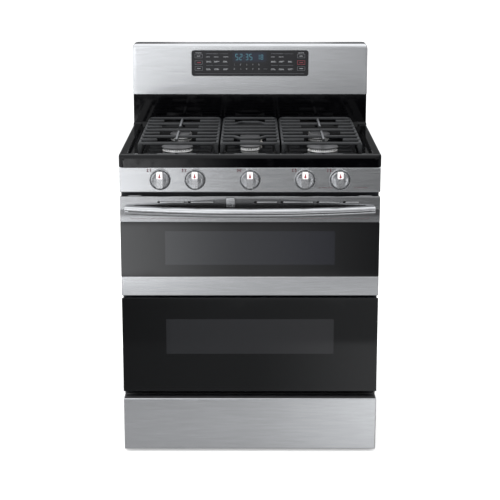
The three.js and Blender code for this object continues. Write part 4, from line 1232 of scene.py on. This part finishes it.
def legends(glass):
    y = glass.y0 - 0.00002
    wide, tall = glass.x1 - glass.x0, glass.z1 - glass.z0

    def px(u):
        return glass.x0 + wide * u

    def pz(v):
        return glass.z0 + tall * v

    form = Form()
    rng = random.Random(8)

    def word(u, v, length, finish=pale_ink, height=0.0016):
        """A short printed legend as a run of small strokes."""
        x, end = px(u), px(u) + wide * length
        while x < end - 0.0006:
            step = rng.uniform(0.0010, 0.0021)
            form.slab((x, x + step * 0.72), (y - 0.0001, y + 0.00005),
                      (pz(v) - height / 2, pz(v) + height / 2 * rng.uniform(0.5, 1.0)), finish, "y", 0.00002,
                      0.0003, 1)
            x += step

    for u in (0.028, 0.905):
        middle_ink = grey_ink if u < 0.5 else red_ink
        for v, frame_ink, ink in ((0.70, grey_ink, pale_ink), (0.445, middle_ink, red_ink),
                                  (0.215, grey_ink, pale_ink)):
            outline_box(form, (px(u), px(u + 0.066)), y, (pz(v), pz(v + 0.155)), 0.0008, frame_ink)
            word(u + 0.018, v + 0.078, 0.030, ink, 0.0024)
        word(u + 0.006, 0.90, 0.052, pale_ink, 0.0018)
    for start, rows in ((0.125, ((0.86, 0.190),)), (0.680, ((0.86, 0.190),))):
        for v, length in rows:
            word(start, v + 0.01, length * 0.55, grey_ink)
            form.slab((px(start + length * 0.58), px(start + length)), (y - 0.0001, y + 0.00005),
                      (pz(v), pz(v) + 0.0006), grey_ink, "y", 0.00002, 0.0002, 1)
        word(start, 0.415, 0.060, grey_ink, 0.0011)
        form.slab((px(start + 0.07), px(start + 0.19)), (y - 0.0001, y + 0.00005),
                  (pz(0.41), pz(0.41) + 0.0006), grey_ink, "y", 0.00002, 0.0002, 1)
        for row, v in enumerate((0.745, 0.575, 0.545, 0.28, 0.245)):
            for column, u in enumerate((0.0, 0.068, 0.145)):
                if row == 0 and column == 2 and start > 0.5:
                    continue
                word(start + u, v, 0.030 + 0.014 * ((row + column) % 3) / 2, pale_ink, 0.0019)
    digits = [("5", 0.375), ("2", 0.410), ("3", 0.460), ("5", 0.495)]
    for digit, u in digits:
        seven_segment(form, digit, px(u), y, pz(0.62), wide * 0.024, tall * 0.24, teal_light)
    for digit, u in (("1", 0.560), ("8", 0.592)):
        seven_segment(form, digit, px(u), y, pz(0.64), wide * 0.020, tall * 0.19, teal_light)
    for v in (0.69, 0.78):
        form.slab((px(0.446), px(0.450)), (y - 0.0001, y + 0.00005), (pz(v), pz(v) + 0.0016), teal_light, "y",
                  0.00002, 0.0003, 1)
    for row, v in ((0, 0.415), (1, 0.245)):
        for i in range(5):
            digit = str((row * 5 + i + 1) % 10)
            seven_segment(form, digit, px(0.362 + 0.0525 * i), y, pz(v), 0.0030, 0.0052, pale_ink)
    word(0.615, 0.275, 0.034, grey_ink)
    form.slab((px(0.03), px(0.965)), (y - 0.0001, y + 0.00005), (pz(0.085), pz(0.085) + 0.0007), grey_ink,
              "y",
              0.00002, 0.0002, 1)
    form.piece("display_legends", "chassis", "black_glass")


def display_finish():
    """The near-black key panel, a little bluer behind the digits."""
    f = Finish("display_panel_glass")
    b = Box("display_glass")
    wide = b.x1 - b.x0
    lit_height = f.z.within(b.z0 + 0.046, b.z1 - 0.006, 0.006)
    lit = f.x.within(b.x0 + wide * 0.36, b.x0 + wide * 0.63, 0.012) * lit_height
    haze = f.noise(12, 5, 0.6).rise(0.5, 0.8)
    return f.done(Base_Color=f.mix(lit, (0.006, 0.006, 0.008), (0.012, 0.016, 0.030)),
                  Roughness=0.10 + haze * 0.06, Specular_IOR_Level=0.35,
                  Normal=f.bump(f.noise(40, 1), 0.02, 0.0004))


display_face = display_finish()


# ---- Doors ----------------------------------------------------------------------------------------
def door_trims():
    b = Box("upper_door_top_trim")
    release = Box("door_release")
    top = Form().pan((b.x0, b.x1), (b.y0, b.y1), (b.z0, b.z1), trim_steel_painted_shade, edge=0.0022, corner=0.0025)
    cutters = Form()
    cutters.slab((release.x0 - 0.0006, release.x1 + 0.0006), (b.y0 - 0.01, b.y0 + 0.01),
                 (release.z0 - 0.0006, release.z1 + 0.0006), trim_steel_painted_shade, "y", 0.0001, 0.002)
    vents = [(-0.269, -0.190), (-0.180, -0.105), (0.012, 0.080), (0.089, 0.184), (0.193, 0.262),
             (0.270, 0.318)]
    for left, right in vents:
        cutters.slab((left, right), (b.y0 - 0.01, b.y0 + 0.01), (0.7664, 0.7716), trim_steel_painted_shade, "y", 0.0001,
                     0.0018)
    mesh = pierced("door_top_trim", top.mesh("door_top_trim"), cutters)
    complete("door_top_trim", mesh, "upper_door", ("upper_door_top_trim",), pressed=True)
    lips = Form()
    for left, right in vents:
        lips.slab((left + 0.0075, right - 0.001), (b.y0 - 0.0004, b.y0 + 0.0040), (0.7668, 0.7703),
                  knob_bright, "y", 0.0012, 0.0010)
        lips.slab((left - 0.001, right + 0.001), (b.y0 + 0.0046, b.y0 + 0.0060), (0.7655, 0.7730),
                  shadow_black,
                  "y", 0.0003, 0.0008)
    lips.piece("door_vent_slots", "upper_door", "stainless")
    etched = Form()
    for sign in (-1, 1):
        for x, z in (((0.300, 0.345), (0.7205, 0.7211)), ((0.110, 0.288), (0.7205, 0.7211)),
                     ((0.345, 0.3456), (0.7205, 0.7270))):
            x = tuple(sorted((sign * x[0], sign * x[1])))
            etched.slab(x, (b.y0 - 0.0001, b.y0 + 0.0003), z, panel_mark, "y", 0.00003, 0.0002, 1)
    etched.piece("door_etched_lines", "upper_door", "stainless")
    low = Box("upper_door_bottom_trim")
    band = Form().pan((low.x0, low.x1), (low.y0, low.y1), (low.z0, low.z1), steel, edge=0.0022, corner=0.0025)
    notches = Form()
    hinge = abs(Box("door_hinge_left").middle.x)
    for x in (-hinge, hinge):
        notches.slab((x - 0.006, x + 0.006), (low.y0 + 0.0022, low.y0 + 0.03),
                     (low.z0 - 0.01, low.z0 + 0.0025),
                     steel, "y", 0.0001, 0.0002)
    mesh = pierced("door_middle_band", band.mesh("door_middle_band"), notches)
    complete("door_middle_band", mesh, "upper_door", ("upper_door_bottom_trim",), pressed=True)
    liner = Box("upper_door_liner")
    cap = Form()
    for sign in (-1, 1):
        x = tuple(sorted((sign * 0.316, sign * 0.354)))
        cap.slab(x, (liner.y0 + 0.003, liner.y0 + 0.012), (b.z1 - 0.0004, b.z1 + 0.0010), knob_satin, "z",
                 0.0004, 0.001)
    cap.piece("door_top_inserts", "upper_door", "black_plastic")
    button = Form()
    button.slab((release.x0, release.x1), (release.y0, release.y1), (release.z0, release.z1), knob_ring, "y",
                0.0018, 0.0035, 4)
    button.piece("release_button", "release", "knob_metal", "door_release")


def door_panes():
    # each window's two tones, left then right, fade across it: painted light
    for door, window, border, window_tone_and_painted_light, specular in (
            ("upper", ((-0.248, 0.248), (0.5816, 0.6825)), (0.0035, 0.0036, 0.004),
             ((0.020, 0.021, 0.023), (0.010, 0.0105, 0.014)), 0.5),
            ("lower", ((-0.248, 0.248), (0.3085, 0.4154)), (0.004, 0.0042, 0.0045),
             ((0.014, 0.0145, 0.016), (0.016, 0.0162, 0.0175)), 0.32)):
        b = Box(f"{door}_door_glass")
        finish = door_glass(f"{door}_door_black_glass", window, border, window_tone_and_painted_light, specular)
        form = Form().slab((b.x0, b.x1), (b.y0, b.y1), (b.z0, b.z1), finish, "y", 0.0009, 0.0012)
        form.piece(f"{door}_door_pane", f"{door}_door", "black_glass", f"{door}_door_glass")
        softened(f"{door}_door_liner", f"{door}_door_inner_panel", oven_coat, f"{door}_door",
                 0.0007)
        liner = Box(f"{door}_door_liner")
        top = liner.z1 if door == "upper" else Box("lower_door_glass").z1
        tall = top - liner.z0
        z0, z1 = liner.z0 + tall * 0.36, liner.z0 + tall * 0.78
        rear = liner.y1
        inner = Form()
        inner.slab((-0.256, 0.256), (rear - 0.006, rear - 0.0022), (z0 - 0.006, z1 + 0.006), finish_inner,
                   "y",
                   0.0004, 0.006)
        inner.piece(f"{door}_door_inner_pane", f"{door}_door", "black_glass")
        surround = Form()
        rings = []
        for inset, deep in ((-0.010, 0.0), (-0.0085, 0.0012), (-0.002, 0.0014), (0.0005, 0.0006),
                            (0.0005, -0.001),
                            (-0.010, -0.001)):
            rings.append([(u, rear + deep, v) for u, v in rounded(
                (-0.25 + inset, 0.25 - inset), (z0 + inset, z1 - inset), 0.010, 5)])
        surround.loft(rings, knob_ring, loop=True)
        surround.piece(f"{door}_door_window_frame", f"{door}_door", "oven_enamel")
        spread(f"{door}_door_inner_screws", screw("y", 1),
               [(x, rear - 0.0001, z) for x in (-0.30, -0.10, 0.10, 0.30) for z in (liner.z0 + 0.02,
                                                                                    top - 0.02)],
               screw_zinc, f"{door}_door", "galvanised", (0, 3, 0), 13)


def inner_finish():
    f = Finish("inner_window_glass")
    stain = f.noise(18, 5, 0.65).rise(0.5, 0.8)
    return f.done(Base_Color=f.mix(stain, (0.005, 0.005, 0.005), (0.012, 0.010, 0.008)),
                  Roughness=0.06 + stain * 0.16, Specular_IOR_Level=0.5,
                  Normal=f.bump(stain, 0.04, 0.0003))


finish_inner = inner_finish()


def gasket():
    """The seal on the face frame around the oven mouth."""
    b, liner = Box("front_frame"), Box("oven_liner")
    y = b.y0 - 0.0016
    half, z0, z1 = liner.x1 + 0.007, liner.z0 - 0.006, min(liner.z1 + 0.004, b.z1 - 0.006)
    path = [(-half, y, z0), (half, y, z0), (half, y, z1), (-half, y, z1), (-half, y, z0)]
    mesh = wires.run("oven_mouth_gasket", lines_mesh([path]), Radius=0.0016, Bend=0.018, Finish=gasket_braid)
    complete("oven_mouth_gasket", mesh, "chassis", (), 60)


def handle():
    b = Box("door_handle")
    half, centre_z = b.x1 - 0.005, b.middle.z
    high, deep = (b.z1 - b.z0) / 2, 0.009
    middle_y = b.y0 + deep
    end_y = Box("upper_door_top_trim").y0 - 0.0095
    sag = end_y - middle_y
    radius = (half * half + sag * sag) / (2 * sag)
    spread_angle = math.asin(half / radius)
    section = []
    front = [(-1.0, 0.34), (-0.985, 0.10), (-0.95, -0.14), (-0.89, -0.36), (-0.80, -0.55), (-0.69, -0.70),
             (-0.56, -0.80), (-0.44, -0.85), (-0.34, -0.86), (-0.285, -0.82), (-0.25, -0.66), (-0.15, -0.66),
             (-0.12, -0.86), (-0.06, -0.93), (0.06, -0.975), (0.20, -1.0), (0.34, -0.985), (0.48, -0.93),
             (0.61, -0.83), (0.73, -0.68), (0.83, -0.49), (0.91, -0.27), (0.965, -0.03), (1.0, 0.34)]
    back = [(0.96, 0.62), (0.84, 0.86), (0.62, 1.0), (0.2, 1.0), (-0.2, 1.0), (-0.62, 1.0), (-0.84, 0.86),
            (-0.96, 0.62)]
    section = [(v * high, u * deep) for v, u in front + back]
    steps = 64
    form = Form()
    rings = []
    for i in range(steps + 1):
        turn = (2 * i / steps - 1) * spread_angle
        x, y = radius * math.sin(turn), middle_y + radius * (1 - math.cos(turn))
        rings.append([(x - u * math.sin(turn), y + u * math.cos(turn), centre_z + v) for v, u in section])

    def shrunk(ring, shift, scale):
        centre = sum((Vector(p) for p in ring), Vector()) / len(ring)
        return [tuple(centre + (Vector(p) - centre) * scale + Vector((shift, 0, 0))) for p in ring]

    inward = 0.0022
    for end, sign in ((0, 1), (-1, -1)):
        ring = rings[end]
        full = shrunk(ring, sign * inward, 1.0)
        near = shrunk(ring, sign * inward * 0.35, 0.96)
        cap = shrunk(ring, 0, 0.86)
        rings = [cap, near, full] + rings[1:] if end == 0 else rings[:-1] + [full, near, cap]
    form.loft(rings, bright_bar)
    strip = []
    for i in range(2, steps - 1):
        turn = (2 * i / steps - 1) * spread_angle
        x, y = radius * math.sin(turn), middle_y + radius * (1 - math.cos(turn))
        strip.append([(x - u * deep * math.sin(turn), y + u * deep * math.cos(turn), centre_z + v * high)
                      for v, u in ((-0.86, 0.80), (0.86, 0.80), (0.80, 1.03), (-0.80, 1.03))])
    form.loft(strip, shadow_black)
    groove = []
    for i in range(1, steps):
        turn = (2 * i / steps - 1) * spread_angle
        x, y = radius * math.sin(turn), middle_y + radius * (1 - math.cos(turn))
        groove.append([(x - u * deep * math.sin(turn), y + u * deep * math.cos(turn), centre_z + v * high)
                       for v, u in ((-0.275, -0.72), (-0.13, -0.72), (-0.13, -0.60), (-0.275, -0.60))])
    form.loft(groove, shadow_black)
    for sign in (-1, 1):
        x = tuple(sorted((sign * (half - 0.030), sign * (half - 0.006))))
        face = Box("upper_door_top_trim").y0
        form.slab(x, (face - 0.004, face + 0.0002), (centre_z - 0.010, centre_z + 0.010), bright_bar, "y",
                  0.0006, 0.002)
    form.piece("bowed_door_handle", "upper_door", "polished_steel", "door_handle", smooth=28)


# ---- Drawer ---------------------------------------------------------------------------------------
def drawer():
    b = Box("drawer_front")
    form = Form().pan((b.x0, b.x1), (b.y0, b.y1), (b.z0, b.z1), steel, edge=0.0025, corner=0.003)
    form.piece("drawer_face", "drawer", "stainless", "drawer_front")
    cap = Box("drawer_cap")
    top = Form()
    profile = [(cap.y0, cap.z0), (cap.y0, cap.z1 - 0.0016), (cap.y0 + 0.0006, cap.z1 - 0.0005),
               (cap.y0 + 0.002, cap.z1), (cap.y0 + 0.012, cap.z1), (cap.y0 + 0.015, cap.z1 - 0.0028),
               (cap.y0 + 0.031, cap.z1 - 0.0028), (cap.y0 + 0.034, cap.z1), (cap.y1 - 0.001, cap.z1),
               (cap.y1, cap.z1 - 0.001), (cap.y1, cap.z0)]
    rings = [[(x, u, v - drop * (v > cap.z0 + 0.001)) for u, v in profile]
             for x, drop in ((cap.x0, 0.0015), (cap.x0 + 0.002, 0.0), (cap.x1 - 0.002, 0.0),
                             (cap.x1, 0.0015))]
    top.loft(rings, plastic)
    top.piece("drawer_top_cap", "drawer", "black_plastic", "drawer_cap")
    softened("drawer_box", "drawer_tray", galvanised, "drawer", 0.0005)
    box = Box("drawer_box")
    spread("drawer_front_screws", screw("y", 1), [(x, b.y1 - 0.0002, z) for x in (-0.30, -0.1, 0.1, 0.30)
                                                  for z in (box.z0 - 0.016,)],
           screw_zinc, "drawer", "galvanised", (0, 3, 0), 17)


# ---- Studio ---------------------------------------------------------------------------------------
def emission(name, expression):
    """A glowing surface whose strength is worked out from its place."""
    f = Finish(name)
    shader = f.add("ShaderNodeEmission", {}, {"Color": (0.985, 1.0, 1.02), "Strength": expression(f)})
    f.add("ShaderNodeOutputMaterial", {}, {"Surface": shader})
    return f.material


FRONT_ZONES = [
    # low, high, then the glow at the left, the middle and the right
    (-1.60, -1.08, 0.30, 0.30, 0.40),
    (-1.08, -0.77, 0.64, 0.78, 1.45),
    (-0.77, -0.50, 0.20, 0.34, 1.25),
    (-0.50, -0.27, 0.10, 0.32, 0.55),
    (-0.27, -0.17, 0.05, 1.00, 1.10),
    (-0.17, 0.10, 2.90, 0.75, 0.14),
    (0.10, 0.24, 0.80, 0.20, 0.13),
    (0.24, 0.335, 0.42, 0.31, 0.02),
    (0.335, 0.43, 4.40, 0.01, 0.01),
    (0.43, 0.57, 0.10, 0.01, 0.01),
    (0.57, 0.90, 1.26, 1.20, 0.70),
    (0.90, 1.60, 1.80, 0.70, 0.40),
    (1.60, 2.70, 1.30, 1.10, 0.90),
    (2.70, 6.00, 1.15, 1.00, 0.85),
]


def surroundings_light(f):
    """What polished faces mirror: soft bands in front, a dim wall behind, a bright ceiling."""
    front = 0.0
    for low, high, left, middle, right in FRONT_ZONES:
        glow = left + f.x.rise(-0.80, 0.02) * (middle - left) + f.x.rise(-0.05, 0.75) * (right - middle)
        front = glow * f.z.within(low, high, 0.02) + front
    rear = 0.62 - f.z.rise(1.15, 1.4) * 0.52 + f.z.rise(2.3, 3.2) * 0.9
    rear = rear + f.z.within(1.5, 2.2, 0.1) * f.x.within(-0.5, 0.5, 0.1) * 0.45
    side = (1.05 - f.x.rise(-4, 4) * 0.80) * f.z.rise(-1.5, -0.2, 0.55, 1.0) + f.z.rise(1.5, 3.5) * 0.3
    at_front = 1 - f.y.rise(-2.99, -2.97)
    at_rear = f.y.rise(4.97, 4.99)
    up = f.z.rise(5.47, 5.49)
    other = side * (1 - at_rear) + rear * at_rear
    other = other * (1 - up) + up * 1.5
    return front * at_front + other * (1 - at_front)


def room(name, x, y, z, finish):
    """A closed box round the scene that only mirror-like rays can see."""
    mesh = bpy.data.meshes.new(name)
    mesh.from_pydata([(a, b, c) for a in x for b in y for c in z], [],
                     [(0, 1, 3, 2), (4, 6, 7, 5), (0, 4, 5, 1), (2, 3, 7, 6), (0, 2, 6, 4), (1, 5, 7, 3)])
    mesh.materials.append(finish)
    obj = bpy.data.objects.new(name, mesh)
    bpy.context.scene.collection.objects.link(obj)
    for kind in ("camera", "diffuse", "shadow", "transmission", "volume_scatter"):
        setattr(obj, "visible_" + kind, False)


def floor_finish():
    f = Finish("pale_studio_floor")
    cloud = f.noise(1.3, 4)
    return f.done(Base_Color=f.mix(cloud, (0.90, 0.90, 0.90), (0.93, 0.93, 0.93)),
                  Roughness=0.85 + cloud * 0.1, Specular_IOR_Level=0.1,
                  Emission_Color=(1, 1, 1), Emission_Strength=0.30)


def studio():
    scene = bpy.context.scene
    scene.view_settings.view_transform = "Standard"
    world = bpy.data.worlds.new("studio_world")
    scene.world = world
    world.use_nodes = True
    world.cycles_visibility.glossy = False
    tree = Tree(world.node_tree)
    world.node_tree.nodes.clear()
    background = tree.add("ShaderNodeBackground", {}, {"Color": (1, 1, 1), "Strength": 1.10})
    tree.add("ShaderNodeOutputWorld", {}, {"Surface": background})
    floor_mesh = bpy.data.meshes.new("studio_floor")
    reach = 60
    floor_mesh.from_pydata([(-reach, -reach, 0), (reach, -reach, 0), (reach, reach, 0), (-reach, reach, 0)],
                           [],
                           [(0, 1, 2, 3)])
    floor_mesh.materials.append(floor_finish())
    floor = bpy.data.objects.new("studio_floor", floor_mesh)
    scene.collection.objects.link(floor)
    floor.visible_glossy = False
    room("studio_surroundings", (-5, 5), (-3, 5), (-1.6, 5.5), emission("studio_glow", surroundings_light))

    def lamp(name, place, target, size, power):
        light = bpy.data.lights.new(name, "AREA")
        light.shape, light.size, light.size_y, light.energy = "RECTANGLE", size[0], size[1], power
        obj = bpy.data.objects.new(name, light)
        obj.location = place
        obj.rotation_euler = (Vector(target) - Vector(place)).to_track_quat("-Z", "Y").to_euler()
        obj.visible_glossy = False
        scene.collection.objects.link(obj)

    lamp("soft_key_left", (-2.6, -2.4, 2.9), (0, 0, 0.7), (2.2, 2.2), 34)
    lamp("soft_fill_right", (2.8, -2.2, 2.0), (0, 0, 0.6), (2.0, 2.0), 12)
    lamp("soft_top", (0, 0.4, 3.2), (0, 0, 0.9), (2.4, 1.6), 22)
    lamp("soft_rear", (-1.4, 3.0, 2.2), (0, 0.3, 0.7), (2.0, 1.6), 20)
    data = bpy.data.cameras.new("camera")
    data.lens, data.sensor_width, data.shift_y = 105.3, 36, -0.03
    camera = bpy.data.objects.new("camera", data)
    camera.location = (0, -4.456, 1.641)
    camera.rotation_euler = Euler((math.radians(90 - 13.14), 0, 0))
    scene.collection.objects.link(camera)
    scene.camera = camera


studio()
side_panels()
rear_details()
feet()
oven_inside()
racks()
well_floor = cooktop()
burners(well_floor)
grates()
control_panel()
knobs()
backguard()
door_trims()
door_panes()
gasket()
handle()
drawer()
